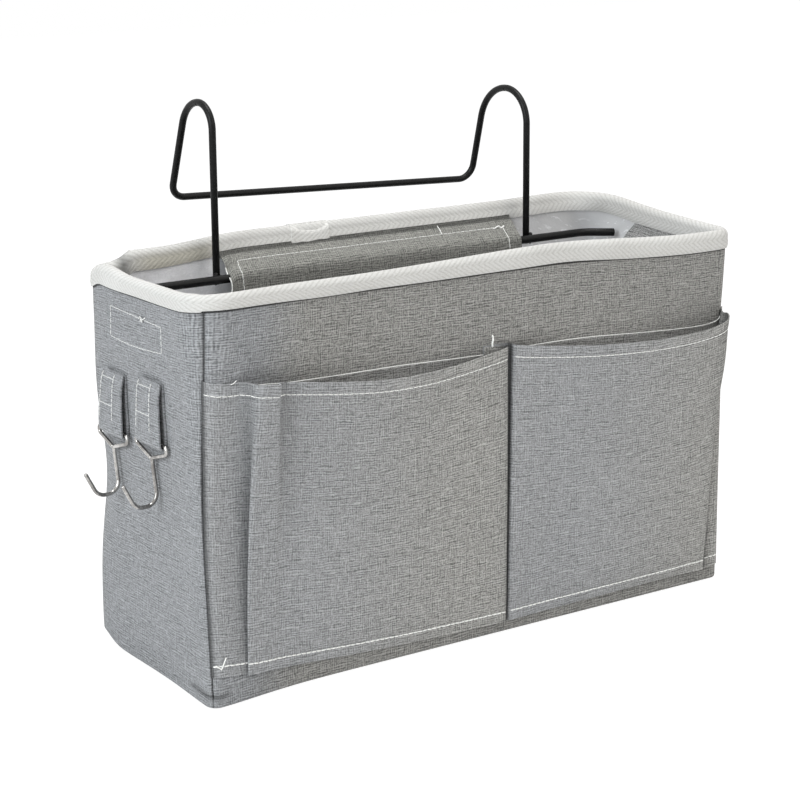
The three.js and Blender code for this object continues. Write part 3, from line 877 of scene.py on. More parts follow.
# x, distance from the wall and height at the mouth, then x and distance at the foot
LEFT_STATIONS = np.array([
    (-171.5, 0.5, 170.4, -173.2, 0.5),
    (-166.5, 0.5, 169.0, -167.5, 0.5),
    (-160.0, 0.7, 168.4, -162.5, 0.6),
    (-154.5, 1.6, 168.4, -158.0, 0.7),
    (-153.0, 3.0, 168.6, -152.0, 0.8),
    (-151.6, 5.2, 168.7, -147.0, 1.2),
    (-150.2, 8.4, 168.4, -149.5, 1.9),
    (-148.6, 11.2, 168.2, -153.6, 2.3),
    (-145.6, 12.8, 168.0, -152.8, 3.0),
    (-142.0, 12.9, 167.6, -148.0, 3.0),
    (-137.0, 12.4, 166.8, -139.0, 2.2),
    (-132.6, 8.8, 166.7, -131.0, 1.6),
    (-97.5, 9.4, 161.8, -99.0, 1.4),
    (-69.2, 9.2, 159.1, -71.0, 1.3),
    (-42.8, 8.2, 158.8, -44.0, 1.3),
    (-18.8, 6.6, 160.6, -19.0, 1.4),
    (2.0, 5.6, 163.2, 2.0, 2.0),
    (10.0, 4.6, 164.2, 10.4, 2.5),
    (12.0, 3.4, 164.6, 12.6, 2.1),
    (10.0, 2.0, 164.9, 10.0, 1.4),
    (3.0, 1.5, 165.4, 4.0, 1.3),
    (-2.0, 1.3, 165.6, 0.0, 1.3),
])
RIGHT_STATIONS = np.array([
    (-2.0, 0.4, 166.0, 0.0, 0.4),
    (5.0, 0.4, 166.0, 6.0, 0.4),
    (11.5, 0.5, 166.0, 12.0, 0.5),
    (15.8, 1.4, 165.6, 14.6, 0.9),
    (16.6, 3.4, 165.2, 15.2, 1.7),
    (19.0, 4.4, 164.8, 18.4, 2.2),
    (28.0, 5.2, 163.4, 28.0, 1.7),
    (51.1, 5.6, 160.3, 50.0, 1.4),
    (79.6, 7.0, 157.5, 77.0, 1.3),
    (109.9, 8.6, 156.2, 106.0, 1.4),
    (137.6, 10.0, 156.7, 132.0, 1.5),
    (154.6, 11.4, 158.9, 150.0, 2.6),
    (163.0, 11.6, 161.6, 157.4, 3.1),
    (166.6, 9.6, 164.2, 159.6, 2.4),
    (168.0, 6.6, 165.4, 156.5, 1.9),
    (168.6, 4.0, 165.0, 151.0, 1.3),
    (169.2, 2.0, 165.6, 155.0, 0.8),
    (170.0, 0.9, 166.2, 162.0, 0.6),
    (171.2, 0.5, 167.0, 168.0, 0.5),
    (172.4, 0.5, 167.5, 173.0, 0.5),
])
print("pocket height in mm:", round(float(pocket_height), 1))

# %% Pocket cloth
STATION_STEPS = 7
FOOT_RISE = 9.5
FOOT_LOW = 7.0
hem_share, foot_share = 1 - HEM / pocket_height, FOOT_HEM / pocket_height
POCKET_ROWS = np.concatenate([
    [0, 0.5 * foot_share, foot_share - 0.008, foot_share, foot_share + 0.008],
    np.linspace(foot_share + 0.03, hem_share - 0.03, 26),
    [hem_share - 0.012, hem_share - 0.003, hem_share, hem_share + 0.006],
    np.linspace(hem_share + 0.014, 1, 4),
])
FOOT_ROW, HEM_ROW = 3, len(POCKET_ROWS) - 6


def front_skin(x, z):
    """Where the front wall's outside lies, round corners included."""
    radius = np.where(x < 0, corner_radius(0, z), corner_radius(1, z))
    past = np.clip(np.abs(x) - (HALF_WIDTH - radius), 0, 0.95 * radius)
    return -HALF_DEPTH + radius - np.sqrt(radius**2 - past**2)


def foot_height(x):
    """The pockets' lower edge, which climbs towards the left corner."""
    return FOOT_LOW + FOOT_RISE * np.clip((10 - x) / 180, 0, 1) ** 2 + 2.0 * np.clip((x - 10) / 160, 0, 1)


def pocket_grid(stations, side, seed):
    mouth_x, mouth_off, mouth_z, foot_x, foot_off = through(stations, STATION_STEPS).T
    share = POCKET_ROWS[:, None]
    foot_z = foot_height(foot_x)
    x = foot_x + (mouth_x - foot_x) * share ** PLEAT_OPENS[side]
    z = foot_z + (mouth_z - foot_z) * share
    leans = MOUTH_SWELL[side] + PLEAT_LIES * ease(mouth_x, 140, 160)
    off = foot_off + (mouth_off - foot_off) * share**leans
    x = x + RIGHT_BULGE * swell(share, 0.84, 0.14) * ease(mouth_x, 150, 166) * ease(mouth_off, 1, 6)
    slack = ease(off, 1.2, 5.0)
    off = off + POCKET_WAVE * slack * (ripple(x / 21, z / 30, seed) + 0.7 * ripple(x / 8, z / 70, seed + 2))
    off = off + HEM_STEP * ease(share, hem_share - 0.004, hem_share + 0.004)
    sewn = swell(share, foot_share, 0.010) + 0.8 * swell(share, hem_share, 0.008)
    off = off - 0.25 * sewn * ease(off, 0.8, 1.4)
    return grid_of(x, front_skin(x, z) - off, z)


pocket_grids, pockets = {}, {}
for side, stations, seed in (("left", LEFT_STATIONS, 1.0), ("right", RIGHT_STATIONS, 4.0)):
    pocket_grids[side] = settle(pocket_grid(stations, side, seed))
    pockets[side] = cloth_piece(f"{side}_pocket_cloth", pocket_grids[side], POCKET_CLOTH, 0, POCKET,
                                [f"{side}_pocket"])
left_grid, right_grid = pocket_grids["left"], pocket_grids["right"]

# %% [markdown]
# ## Shade in the pleats
#
# Little light reaches into a pleat or between the pockets. A render finds most of that by itself, but the
# thin gaps are narrower than its soft light shows, so the cloth carries a little shade there. Each shade
# has a strength, the station at its middle, a width in stations and the heights at which it fades in.

# %% Pocket shades
# heights are shares of the pocket's height; these two lie below its foot, so that nothing fades
FULL_HEIGHT = -2, -1
SHADES = {
    "left": [(1.0, 18.4, 0.9, FULL_HEIGHT), (0.40, 5.0, 2.2, FULL_HEIGHT), (0.95, 0.0, 0.25, FULL_HEIGHT),
             (0.32, 10.9, 0.4, (0.3, 0.95))],
    "right": [(1.0, 2.9, 0.9, FULL_HEIGHT), (0.85, 16.8, 0.55, FULL_HEIGHT), (0.17, 12.1, 0.7, (0.35, 0.75))],
}
INSIDE_SHADES = {"left": [], "right": [(0.75, 13.2, 2.4, FULL_HEIGHT)]}


def station_shade(grid, shades):
    """The sum of some shades at each point of a pocket's grid."""
    station = np.arange(grid.shape[1]) / STATION_STEPS
    total = np.zeros(grid.shape[:2])
    for strength, middle, width, (fade_from, fade_to) in shades:
        total += strength * swell(station, middle, width) * ease(POCKET_ROWS, fade_from, fade_to)[:, None]
    return total


for side, grid in pocket_grids.items():
    shade(pockets[side], *(station_shade(grid, shades[side]) for shades in (SHADES, INSIDE_SHADES)))
    print(side, "pocket shades:", len(SHADES[side]) + len(INSIDE_SHADES[side]))

# %% [markdown]
# ## Backing behind the pockets
#
# A thin line shows on the front wall just above the mouths: the folded top edge of the cloth that backs
# the pockets. It is a narrow strip with a small rolled edge, and it lies on the wall.

# %% Pocket backing
BACKING_EDGE = np.array([
    (-170.0, 166.0), (-140.6, 165.1), (-126.0, 164.0), (-94.0, 163.4), (-58.0, 163.2), (-37.0, 162.5),
    (2.6, 161.4), (33.0, 162.3), (72.0, 161.8), (114.0, 159.5), (149.0, 158.1), (164.6, 159.2),
    (171.0, 163.0),
])
BACKING_DROP = 26.0
BACKING_CLOTH, BACKING_GAP = 0.35, 0.2


def backing_grid():
    edge = through(BACKING_EDGE, 9)
    drop = np.array([BACKING_DROP, 14.0, 6.0, 2.2, 1.4, 0.7, 0.0])[:, None]
    roll = np.array([0.0, 0.0, 0.0, 0.05, 0.35, 0.55, 0.30])[:, None]
    x, z = edge[:, 0], edge[:, 1] - drop
    return grid_of(x, front_skin(x, z) - BACKING_GAP - roll, z)


backing_points = settle(backing_grid())
cloth_piece("pocket_backing", backing_points, BACKING_CLOTH, 0, BACKING, [])

# %% [markdown]
# ## Bent wire
#
# The bracket and the hooks are bent from wire, so each is a path of straight runs with an arc at every
# corner, and a round section carried along it. The section keeps from twisting if each step turns the
# last one only as far as the path turns.

# %% Wire helpers
DOME_ANGLES = np.radians([78, 52, 26])
UNLIKE_ANY_RUN = 0.31, 0.52, 0.79


def bent_path(points, radii, step):
    """Points along straight runs, with an arc of the given radius at each inner corner."""
    points = np.asarray(points, float)
    path = [points[0]]
    for before, corner, after, radius in zip(points, points[1:], points[2:], radii):
        back, ahead = one_long(before - corner), one_long(after - corner)
        half = math.acos(np.clip(back @ ahead, -1, 1)) / 2
        centre = corner + one_long(back + ahead) * radius / math.sin(half)
        start = corner + back * radius / math.tan(half) - centre
        end = corner + ahead * radius / math.tan(half) - centre
        sweep = math.pi - 2 * half
        share = np.linspace(0, 1, max(4, math.ceil(sweep * radius / step)))[:, None]
        arc = start * np.sin((1 - share) * sweep) + end * np.sin(share * sweep)
        path.extend(centre + arc / math.sin(sweep))
    return np.array([*path, points[-1]])


def tube(path, radius, sides=18, dome=1.0):
    """Rings of points along a path, with domed ends, and the faces that join them."""
    path = np.asarray(path, float)
    tangents = one_long(np.gradient(path, axis=0))
    side = np.cross(tangents[0], UNLIKE_ANY_RUN)
    sides_along = []
    for tangent in tangents:
        side = one_long(side - tangent * (side @ tangent))
        sides_along.append(side)
    caps = len(DOME_ANGLES)
    angles = np.concatenate([-DOME_ANGLES, np.zeros(len(path)), DOME_ANGLES[::-1]])

    def with_caps(rows):
        return np.array([rows[0]] * caps + [*rows] + [rows[-1]] * caps)

    along, first = with_caps(tangents), with_caps(sides_along)
    second = np.cross(along, first)
    centres = with_caps(path) + along * (radius * dome * np.sin(angles))[:, None]
    turn = np.linspace(0, FULL_TURN, sides, endpoint=False)[:, None]
    spokes = first[:, None] * np.cos(turn) + second[:, None] * np.sin(turn)
    rings = centres[:, None] + (radius * np.cos(angles))[:, None, None] * spokes
    return rings.reshape(-1, 3), ring_faces(len(rings), sides)


def joined(shapes):
    """Several sets of points and faces as one."""
    points, faces, count = [], [], 0
    for shape_points, shape_faces in shapes:
        points.append(shape_points)
        faces += [np.asarray(face) + count for face in shape_faces]
        count += len(shape_points)
    return np.vstack(points), faces


print("wire helpers ready")

# %% [markdown]
# ## Wire bracket
#
# Two legs rise from the bar inside the back wall, bend over the bed rail and come down to a cross run
# behind it, all in one wire. The bar is a second, thicker wire that the legs are welded to. The bends are
# not quite alike on the two sides, and the weld leaves a small bead.

# %% Bracket
frame_low, frame_high = solid_box("bracket_frame")
bar_low, bar_high = solid_box("bracket_bar")
FRAME_WIRE = 4.0
BAR_WIRE = bar_high[2] - bar_low[2]
BAR_Z = (bar_high[2] + bar_low[2]) / 2
BAR_Y = bar_high[1] - BAR_WIRE / 2
LEG_Y = frame_low[1] + FRAME_WIRE / 2
LEG_X = frame_low[0] + FRAME_WIRE / 2, frame_high[0] - FRAME_WIRE / 2
# rise of the top above the bar, radius of the bend, and the rear leg's spread and drop
RAIL_HOOKS = (95, 14, 21, 56.3), (88.5, 20, 16, 58.7)
CROSS_BEND = 9
BAR_END, BAR_END_FORWARD, BAR_BEND = 15, 11.5, 15
FRAME_DOME, BAR_DOME = 0.35, 0.3
WIRE_STEP = 1.2
WELD_RADIUS, WELD_SIDE, WELD_WOBBLE = 1.25, 1.6, 0.285


def rail_hook(x, rise, radius, spread, drop):
    """Corners of one leg's path, from the bar over the rail to the cross run, and the radii of its bends."""
    top = BAR_Z + rise
    rear = LEG_Y + 2 * radius
    rear_turn = QUARTER_TURN - math.atan2(spread, drop)
    leg = [(x, LEG_Y, frame_low[2] + 0.5), (x, LEG_Y, top)]
    points = leg + [(x, rear, top), (x, rear + spread, top - drop)]
    return points, [radius, radius / math.tan(rear_turn / 2), CROSS_BEND]


def bracket_frame():
    (left, left_bends), (right, right_bends) = (rail_hook(x, *hook) for x, hook in zip(LEG_X, RAIL_HOOKS))
    path = bent_path(left + right[::-1], left_bends + right_bends[::-1], WIRE_STEP)
    return tube(path, FRAME_WIRE / 2, dome=FRAME_DOME)


def bracket_bar():
    end = bar_high[0] - BAR_WIRE / 2 * math.sin(math.atan2(BAR_END_FORWARD, BAR_END))
    bend = end - BAR_END
    points = [(-end, BAR_Y - BAR_END_FORWARD, BAR_Z), (-bend, BAR_Y, BAR_Z), (bend, BAR_Y, BAR_Z),
              (end, BAR_Y - BAR_END_FORWARD, BAR_Z)]
    return tube(bent_path(points, [BAR_BEND, BAR_BEND], WIRE_STEP), BAR_WIRE / 2, dome=BAR_DOME)


def weld_bead(x):
    """A short lumpy bead along the touch of leg and bar."""
    z = BAR_Z + np.linspace(-2.2, 2.4, 7)
    path = grid_of(x + WELD_WOBBLE * np.cos(2 * z), (BAR_Y + LEG_Y) / 2 + 0.2, z)
    return tube(path, WELD_RADIUS, 10)


welds = joined([weld_bead(LEG_X[0] - WELD_SIDE), weld_bead(LEG_X[1] + WELD_SIDE)])
shape_piece("bracket_wire", bracket_frame(), WIRE, ["bracket_frame"], "bracket")
shape_piece("bracket_rod", bracket_bar(), WIRE, ["bracket_bar"], "bracket")
shape_piece("bracket_welds", welds, WIRE, body="bracket")

# %% [markdown]
# ## Retaining flap
#
# The flap is sewn under the tape of the back rim, passes over the bar and is held to the wall below it by
# two fastener tapes. Its section is a smooth curve through a few points beside the bar. It is cloth that
# crosses a hinge: the top edge stays with the basket and the rest turns, so the piece rides on neither
# body and keeps its place.

# %% Flap
flap_low, flap_high = solid_box("retaining_flap")
FLAP_THICK = 1.1
FLAP_CURL, FLAP_SKEW, FLAP_SLACK = 5.0, 5.2, 0.35
FLAP_COLUMNS = 46
FLAP_FRONT = flap_low[1] + 0.8
FLAP_BACK = 52.9
FLAP_LINE = np.array([
    (56.7, TAPE_EDGE + 2.2),
    (56.0, TAPE_EDGE + 0.6),
    (54.8, TAPE_EDGE - 0.6),
    (49.8, TAPE_EDGE - 2.7),
    (44.0, TAPE_EDGE - 4.5),
    (40.4, TAPE_EDGE - 6.0),
    (FLAP_FRONT, BAR_Z - 0.6),
    (FLAP_FRONT - 0.2, BAR_Z - 6.0),
    (FLAP_FRONT + 0.6, BAR_Z - 12.0),
    (44.6, BAR_Z - 18.0),
    (FLAP_BACK - 1.0, BAR_Z - 23.0),
    (FLAP_BACK, BAR_Z - 35.0),
    (FLAP_BACK, flap_low[2]),
])


def flap_grid():
    y, z = through(FLAP_LINE, 5)[::-1].T[:, :, None]
    x = np.linspace(flap_low[0], flap_high[0], FLAP_COLUMNS)
    y = y - FLAP_SLACK * swell(z, BAR_Z - 4, 14) * (1 + ripple(x / 17, z / 9))
    over_edge = QUARTER_TURN * np.clip(flap_low[0] + FLAP_CURL - x, 0, FLAP_CURL) / FLAP_CURL
    sloped = ease(z, BAR_Z - 12, BAR_Z - 2) * ease(-z, -TAPE_EDGE - 1, -TAPE_EDGE + 3)
    curled = sloped * (over_edge - np.sin(over_edge)) * FLAP_CURL / QUARTER_TURN
    skewed = FLAP_SKEW * (0.3 - ease(-y, -56, -FLAP_FRONT) * ease(z, BAR_Z - 40, BAR_Z))
    dropped = 0.8 * sloped * (1 - np.cos(over_edge)) * FLAP_CURL / QUARTER_TURN
    return settle(grid_of(x + curled + skewed, y, z - dropped))


flap_points = flap_grid()
flap = cloth_piece("flap_cloth", flap_points, FLAP_THICK, 0, FLAP, ["retaining_flap"],
                   body=None)
shade(flap, 0.6 * ease(flap_points[..., 1], 55.4, 56.4))
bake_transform(flap)

# %% Fastener tapes
FASTENER_ROUND = 0.35


def fastener_grid(node):
    """A strip with softened edges, where its solid is."""
    low, high = solid_box(node)

    def spread(axis, count):
        start, end = low[axis], high[axis]
        middle = np.linspace(start + 2, end - 2, count)
        places = np.concatenate([[start, start + 0.5], middle, [end - 0.5, end]])
        return places, np.minimum(places - start, end - places)

    (x, from_ends), (z, from_edges) = spread(0, 30), spread(2, 8)
    border = np.minimum(from_ends, from_edges[:, None])
    return grid_of(x, high[1] - FASTENER_ROUND * ease(border, 0, 1.5), z[:, None]), high[1] - low[1]


FASTENERS = ("wall_loop_tape", "basket", "back_lining_cloth"), ("flap_hook_tape", "flap", "flap_cloth")
for node, body, carrier in FASTENERS:
    strip, thickness = fastener_grid(node)
    cloth_piece(f"{node}_strip", settle(strip), thickness - FASTENER_ROUND, 1, PILE, [node],
                body=body)

# %% [markdown]
# ## Tabs and hooks
#
# Two cloth tabs are sewn to the left wall. Each is a strap folded round the ring of a wire hook, its
# front layer standing off the back one. The hooks are single bent wires: a ring with sloping shoulders, a
# stem and an upturned end.

# %% Tabs
TAB_CLOTH = 0.85
TAB_WIDTH = 26.0
TAB_LENGTH = 33.0
TAB_LEAN = {"rear": -1.5, "front": 0.6}
TAB_STEPS, TAB_COLUMNS = 5, 15
HOOK_WIRE = 2.2
# distance from the wall and height above the ring, down the back layer, round the ring and up the front one
TAB_LINE = np.array([
    (0.7, TAB_LENGTH), (0.7, 22.0), (0.7, 12.0), (0.75, 4.0), (0.9, 0.2), (1.6, -1.5), (2.7, -1.95),
    (3.9, -1.4), (4.4, 0.4), (4.4, 6.0), (4.2, 13.0), (3.9, 20.0), (3.5, 26.0), (2.6, 30.5),
    (1.75, TAB_LENGTH),
])
RINGS = {joint["child"].removeprefix("hook_"): np.array(joint["pos_m"]) / MM for joint in frame["joints"]
         if joint["child"].startswith("hook_")}


def tab_grid(ring, lean):
    """A folded strap; its rows go down the back layer and up the front one, its columns across it."""
    out, rise = through(TAB_LINE, TAB_STEPS).T[:, :, None]
    across = np.linspace(-1, 1, TAB_COLUMNS)
    half = TAB_WIDTH / 2 * (1.06 - 0.11 * ease(rise, 0, 24) - 0.05 * ease(rise, 29.5, 33.5))
    y = ring[1] + half * across + lean * rise / TAB_LENGTH
    bow = 0.5 * ease(out, 1.5, 4.0) * (1 - across**2)
    droop = 0.9 * ease(rise, 26, 33) * np.abs(across) ** 4
    return settle(grid_of(-HALF_WIDTH - out - bow, y, ring[2] + rise - droop))


tab_grids = {}
for place, lean in TAB_LEAN.items():
    tab_grids[place] = tab_grid(RINGS[place], lean)
    cloth_piece(f"{place}_tab_cloth", tab_grids[place], TAB_CLOTH, 0, GREY, [f"hook_tab_{place}"])

# %% Hooks
RING_OVERHANG, RING_BEND, RING_SIDE, NECK_DROP = 3.2, 2.0, 4.0, 9.0
HOOK_DROP, HOOK_LEAN, HOOK_BOTTOM = 33.0, 5.0, 13.0
HOOK_REACH, HOOK_TIP_RISE, HOOK_BEND, HOOK_STEP = 19.5, 12.5, 7.0, 0.5


def hook_wire(ring):
    def at(y, out, drop):
        """A point along the wall from the ring's middle, out from the wall and down."""
        return ring - np.array([out, -y, drop])

    half = TAB_WIDTH / 2 + RING_OVERHANG
    points = [at(HOOK_WIRE / 2 + 0.3, 0, NECK_DROP), at(half, 0, RING_SIDE), at(half, 0, 0), at(-half, 0, 0),
              at(-half, 0, RING_SIDE), at(0, 0, NECK_DROP), at(-HOOK_LEAN, 0, HOOK_DROP),
              at(-HOOK_LEAN, HOOK_BOTTOM, HOOK_DROP), at(-HOOK_LEAN, HOOK_REACH, HOOK_DROP - HOOK_TIP_RISE)]
    radii = [RING_BEND] * 5 + [HOOK_BEND] * 2
    return tube(bent_path(points, radii, HOOK_STEP), HOOK_WIRE / 2)


for place, ring in RINGS.items():
    shape_piece(f"{place}_hook_wire", hook_wire(ring), STEEL, [f"wire_hook_{place}"], f"hook_{place}")

# %% [markdown]
# ## Patch inside the left wall
#
# A stitched rectangle shows on the outside of the left wall. It holds a patch of tape on the inside,
# which lies flat on the lining.

# %% Side patch
patch_low, patch_high = solid_box("side_patch")
PATCH_THICK, PATCH_PUFF = 1.0, 0.3


def patch_grid():
    y = np.linspace(patch_high[1], patch_low[1], 24)
    z = np.linspace(patch_low[2], patch_high[2], 9)[:, None]
    return settle(grid_of(patch_low[0] + PATCH_PUFF * swell(y, 2, 20) * swell(z, 186, 6), y, z))


cloth_piece("side_patch_tape", patch_grid(), PATCH_THICK, -1, TAPE, ["side_patch"])

# %% [markdown]
# ## Stitching
#
# Sewing shows as rows of short threads, each dipping into the cloth at both ends. A stitch is a small
# bowed capsule laid along the row, and all the stitches of a row come from one template at once. Knots
# and loose ends are short tubes.

# %% Stitch helpers
STITCH, STITCH_GAP, STITCH_RADIUS, STITCH_SLANT = 3.0, 0.1, 0.27, 0.10
STITCH_ALONG = np.array([-0.5, -0.38, 0.0, 0.38, 0.5])
STITCH_SIZES = np.array([0.35, 0.85, 1.0, 0.85, 0.35])
STITCH_RISES = np.array([-0.5, 0.05, 0.25, 0.05, -0.5])
STITCH_SIDES = 6
THREAD_LIFT, LOW_THREAD_LIFT = 0.12, 0.1


def evenly(path, outward, spacing):
    """Middles, directions and outward normals of stitches spaced along a path."""
    lengths = row_lengths(path[None])[0]
    count = max(1, int(lengths[-1] // spacing))
    at = (np.arange(count) + 0.5) * lengths[-1] / count

    def along(rows, shift):
        return np.stack([np.interp(at + shift, lengths, row) for row in rows.T], axis=1)

    start, end = along(path, -spacing / 2), along(path, spacing / 2)
    return (start + end) / 2, one_long(end - start), along(outward, 0)


def stitches(path, outward, length=STITCH, radius=STITCH_RADIUS):
    """Points and faces of a row of stitches; outward is one direction, or one for each point of the path."""
    middles, tangents, normals = evenly(path, np.broadcast_to(outward, path.shape), length + STITCH_GAP)
    side = one_long(np.cross(tangents, normals))
    normals = np.cross(side, tangents)
    count = len(middles)
    slant = STITCH_SLANT * np.sin(np.arange(count) * 2.4)
    tangents = tangents + side * slant[:, None]
    turn = np.linspace(0, FULL_TURN, STITCH_SIDES, endpoint=False)
    ring = np.cos(turn)[:, None, None] * side + np.sin(turn)[:, None, None] * normals
    rows = [middles + tangents * along * length + normals * rise * radius + ring * size * radius
            for along, size, rise in zip(STITCH_ALONG, STITCH_SIZES, STITCH_RISES)]
    points = np.stack(rows).transpose(2, 0, 1, 3).reshape(-1, 3)
    one = ring_faces(len(STITCH_ALONG), STITCH_SIDES)
    per_stitch = len(STITCH_ALONG) * STITCH_SIDES
    return points, [face + per_stitch * i for i in range(count) for face in one]


def thread_end(place, bends, radius):
    """A loose end or knot of thread at a place, through a few points beside it."""
    return tube(through(np.asarray(place) + np.array(bends), 6), radius, 8)


def sew(name, shapes, thread=WHITE_THREAD, body="basket"):
    """Rows and ends of thread as one piece."""
    return shape_piece(name, joined(shapes), thread, body=body)


print("stitch length in mm:", STITCH)

# %% Pocket stitching
POCKET_SURFACE = POCKET_CLOTH / 2 + THREAD_LIFT
STRIP_END, FACE_START = 4 * STATION_STEPS, 7 * STATION_STEPS + 3
LEFT_FACE_END, RIGHT_FACE_END = 17 * STATION_STEPS + 4, 12 * STATION_STEPS + 4
RIGHT_STRIP_START, RIGHT_FACE_START = 17 * STATION_STEPS, 4 * STATION_STEPS + 3


def grid_row(points, row, first, last):
    """A path on the outside of a grid, along one row, and its outward directions."""
    span = row, slice(first, last + 1)
    outward = grid_normals(points)[span]
    return points[span] + outward * POCKET_SURFACE, outward


left_spans = [(FOOT_ROW, 1, STRIP_END), (FOOT_ROW, FACE_START, LEFT_FACE_END), (HEM_ROW, 1, LEFT_FACE_END)]
right_end = right_grid.shape[1] - 2
right_spans = [(FOOT_ROW, RIGHT_FACE_START, RIGHT_FACE_END), (FOOT_ROW, RIGHT_STRIP_START, right_end),
               (HEM_ROW, RIGHT_FACE_START, RIGHT_FACE_END)]
SEWN = {FOOT_ROW: 0.40, HEM_ROW: 0.27}
pocket_rows = [stitches(*grid_row(grid, *span), radius=SEWN[span[0]])
               for grid, spans in ((left_grid, left_spans), (right_grid, right_spans)) for span in spans]
seam_top = 3.0, front_skin(3.0, 165.0) - 2.4, 165.6
foot_stray, hem_stray = left_grid[FOOT_ROW, 5], left_grid[-1, 17]
pocket_rows += [
    thread_end(seam_top, [(0, 0, 0), (-0.3, -0.2, 2), (0.0, -0.4, 4), (-0.3, -0.3, 6)], 0.5),
    thread_end(foot_stray, [(-3, -0.9, 1.2), (-0.6, -1.4, -0.6), (0, -1.5, -0.8), (2.6, -1.6, 4.6)], 0.32),
    thread_end(hem_stray, [(-1.3, -0.5, -0.4), (0, -0.9, 0.2), (1.5, -1.0, 1.3)], 0.22),
    tube(backing_points[-1] + np.array([0, -0.35, 0]), 0.26, 6),
]
sew("pocket_stitching", pocket_rows)

# %% Patch, tab and flap stitching
LEFT_OUT = np.array([-1.0, 0.0, 0.0])
LEFT_SKIN = -HALF_WIDTH - THREAD_LIFT
PATCH_CORNERS = np.array([(33.9, 196.0), (-22.1, 193.6), (-22.1, 179.4), (35.2, 178.8)])
PATCH_BOW = 1.3
TAB_CROSS_ROWS = 14.0, 28.5
FLAP_ROW_INSET, FLAP_ROW_DROP = 8.4, 10.8
PATCH_RADIUS, TAB_RADIUS, FLAP_RADIUS = 0.24, 0.27, 0.22
TAB_STITCH, TAB_CROSS_STITCH = 2.3, 2.2
STRAY_X = 53


def nearest(values, wanted):
    """Place in a row of the value nearest to the wanted one."""
    return int(np.argmin(np.abs(values - wanted)))


def patch_rows():
    rows = []
    for i, (start, end) in enumerate(zip(PATCH_CORNERS, np.roll(PATCH_CORNERS, -1, axis=0))):
        share = np.linspace(0, 1, 24)[:, None]
        yz = start * (1 - share) + end * share
        bow = -PATCH_BOW * np.sin(math.pi * share[:, 0]) * (i == 2)
        path = settle(grid_of(LEFT_SKIN, yz[:, 0], yz[:, 1] + bow))
        rows.append(stitches(path, LEFT_OUT, radius=PATCH_RADIUS))
    knot = LEFT_SKIN, -3.0, 192.4
    return rows + [
        thread_end(knot, [(-0.2, 2.5, -1), (-0.8, 0.6, 0.6), (-0.9, -0.6, -0.7), (-0.3, 0.8, -0.6)], 0.4),
        thread_end(knot, [(-0.2, -2.8, 1.6), (-0.7, -0.6, 0.5), (-0.8, 1.5, 1.6), (-0.5, 3.5, 0.4)], 0.3),
    ]


def tab_rows(place):
    """Two rows down the front layer and two across it."""
    grid = tab_grids[place]
    outward = -grid_normals(grid)
    outward *= np.sign(-outward[..., :1])
    surface = grid + outward * (TAB_CLOTH / 2 + LOW_THREAD_LIFT)
    front = range(9 * TAB_STEPS, grid.shape[0] - 3)
    first, last = 5, TAB_COLUMNS - 2
    rows = [stitches(surface[front, column], outward[front, column], TAB_STITCH, TAB_RADIUS)
            for column in (first, last)]
    for height in TAB_CROSS_ROWS:
        row = front[nearest(surface[front, 7, 2], RINGS[place][2] + height)]
        span = row, slice(first, last + 1)
        rows.append(stitches(surface[span], outward[span], TAB_CROSS_STITCH, TAB_RADIUS))
    return rows


def flap_rows():
    outward = grid_normals(flap_points)
    surface = flap_points + outward * (FLAP_THICK / 2 + LOW_THREAD_LIFT)
    lengths = cloth_lengths(flap_points)
    along, climbs = lengths[0, :, 0], lengths[:, 0, 1]
    left, right = nearest(along, FLAP_ROW_INSET), nearest(along, along[-1] - FLAP_ROW_INSET)
    foot, top = 4, nearest(climbs, climbs[-1] - FLAP_ROW_DROP)
    level, upright = slice(left, right + 1), slice(foot, top + 1)
    spans = (top, level), (upright, left), (upright, right), (foot, level)
    rows = [stitches(surface[span], outward[span], radius=FLAP_RADIUS) for span in spans]
    stray = surface[top:, nearest(surface[top, :, 0], STRAY_X)][climbs[top:] - climbs[top] < 9][::2]
    knot = surface[top, right]
    return rows + [
        tube(surface[upright, 0], 0.32, 6),
        thread_end((0, -0.2, 0.3), stray, 0.27),
        thread_end(knot, [(-7, -0.3, -0.6), (-3.5, -0.9, 0.9), (-2, -0.8, -0.5), (0.5, -0.6, 0.6)], 0.42),
    ]


sew("patch_stitching", patch_rows(), WORN_THREAD)
for place in ("rear", "front"):
    sew(f"{place}_tab_stitching", tab_rows(place), WORN_THREAD)
flap_thread = sew("flap_stitching", flap_rows(), body=None)
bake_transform(flap_thread)

# %% Rim stitching
RIM_STITCH, RIM_STITCH_RISE, RIM_RADIUS, RIM_LIFT = 2.2, 2.4, 0.22, 0.05
rim_turn = settle(wall_rows([TAPE_EDGE + RIM_STITCH_RISE], -TAPE_THICK - TAPE_GAP - RIM_LIFT))
rim_path, rim_outward = wrapped(rim_turn)[0], wrapped(turn_normals(rim_turn))[0]
sew("rim_stitching", [stitches(rim_path, rim_outward, RIM_STITCH, RIM_RADIUS)], TAPE_THREAD)

# %% [markdown]
# ## Light and floor
#
# The photograph is lit softly from all round, with the light a little stronger and cooler from the left,
# and its ground is pure white. The world gives the soft light. What the camera sees of the world and of
# the floor is white in itself, mixed with a little of the floor's own shading so that the shadow under
# the caddy stays.

# %% Light and floor
FLOOR_HALF, FLOOR_Z = 4.0, -0.3
FLOOR_SHADING, FLOOR_WHITE = 0.22, 1.16


def white_to_camera(tree):
    """1 for the rays by which the camera, a mirror or glass sees a surface."""
    base = Socket(tree, None)
    kinds = "Camera", "Glossy", "Transmission"
    camera, mirror, glass = (base.node("LightPath", output=f"Is {kind} Ray") for kind in kinds)
    return base.math("MAXIMUM", base.math("MAXIMUM", camera, mirror), glass)


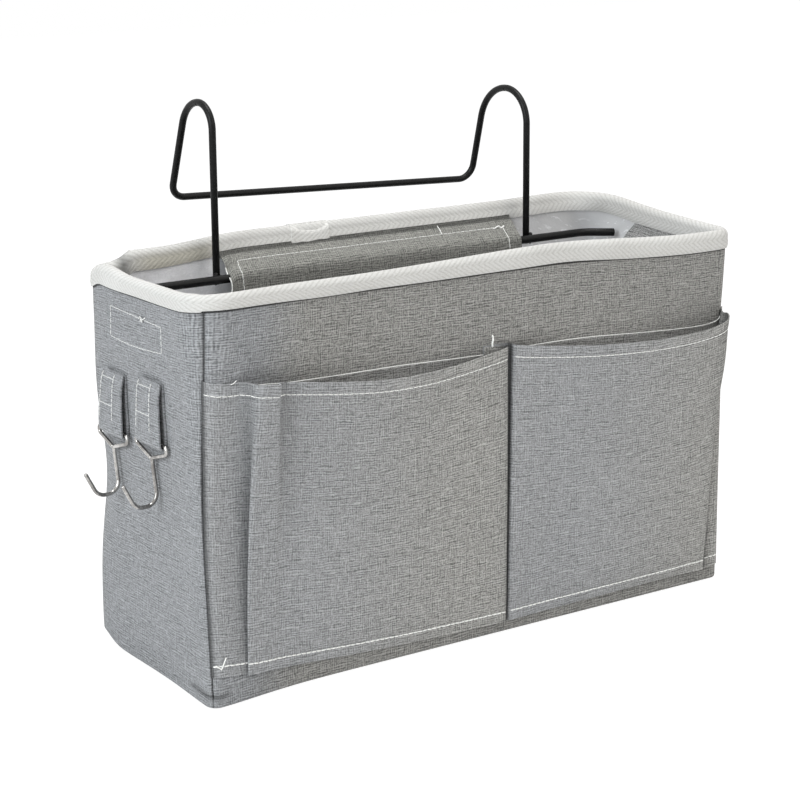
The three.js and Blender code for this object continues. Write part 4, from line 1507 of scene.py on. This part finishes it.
def studio_world(ambient):
    world = bpy.data.worlds.new("studio")
    bpy.context.scene.world = world
    world.use_nodes = True
    tree = world.node_tree
    seen = white_to_camera(tree)
    (seen * (1 - ambient) + ambient).into(tree.nodes["Background"], "Strength")
    tree.nodes["Background"].inputs["Color"].default_value = (1, 1, 1, 1)


def studio_floor():
    points = [(x * FLOOR_HALF / MM, y * FLOOR_HALF / MM, FLOOR_Z) for x, y in CORNER_SIGNS]
    floor = add_mesh("studio_floor", points, [(0, 1, 2, 3)])
    made = Finish("studio_floor", {"Roughness": 1.0, "Specular IOR Level": 0.0})
    tree = made.material.node_tree
    soft = made.grain(0.6)
    soft.tint((0.93, 0.93, 0.93), (0.95, 0.95, 0.95)).into(made.shader, "Base Color")
    white = made.base.node("Emission", {"Color": (1, 1, 1, 1), "Strength": FLOOR_WHITE})
    shaded = Socket(tree, made.shader.outputs[0])
    share = white_to_camera(tree) * (1 - FLOOR_SHADING)
    mixed = made.base.node("MixShader", {0: share, 1: shaded, 2: white})
    mixed.into(tree.nodes["Material Output"], "Surface")
    floor.data.materials.append(made.material)
    floor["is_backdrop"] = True


def soft_lamp(name, place, size, watts, colour):
    """A square lamp that faces the middle of the basket."""
    lamp = bpy.data.objects.new(name, bpy.data.lights.new(name, "AREA"))
    lamp.data.size = size
    lamp.data.energy = watts
    lamp.data.color = colour
    lamp.location = place
    aim = Vector((0, 0, RIM_TOP / 2 * MM)) - lamp.location
    lamp.rotation_euler = aim.to_track_quat("-Z", "Y").to_euler()
    bpy.context.scene.collection.objects.link(lamp)


studio_world(0.50)
studio_floor()
soft_lamp("left_window", Vector((-2.0, -0.45, 1.1)), 1.5, 38, (0.92, 0.965, 1.0))
soft_lamp("front_fill", Vector((0.7, -1.7, 1.5)), 1.4, 11, (1.0, 0.965, 0.91))
soft_lamp("top_light", Vector((0.1, -0.1, 2.0)), 1.0, 27, (1.0, 1.0, 1.0))

# %% [markdown]
# ## Size
#
# Cloth may stand a little proud of the solids, but not much. The last lines measure how far the pieces
# reach past the solids' box on each side, and print it.

# %% Size
seen_low, seen_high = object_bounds()
grown = [*(cad_low - seen_low), *(seen_high - cad_high)]
print("grown by, mm:", [round(side / MM, 1) for side in grown])
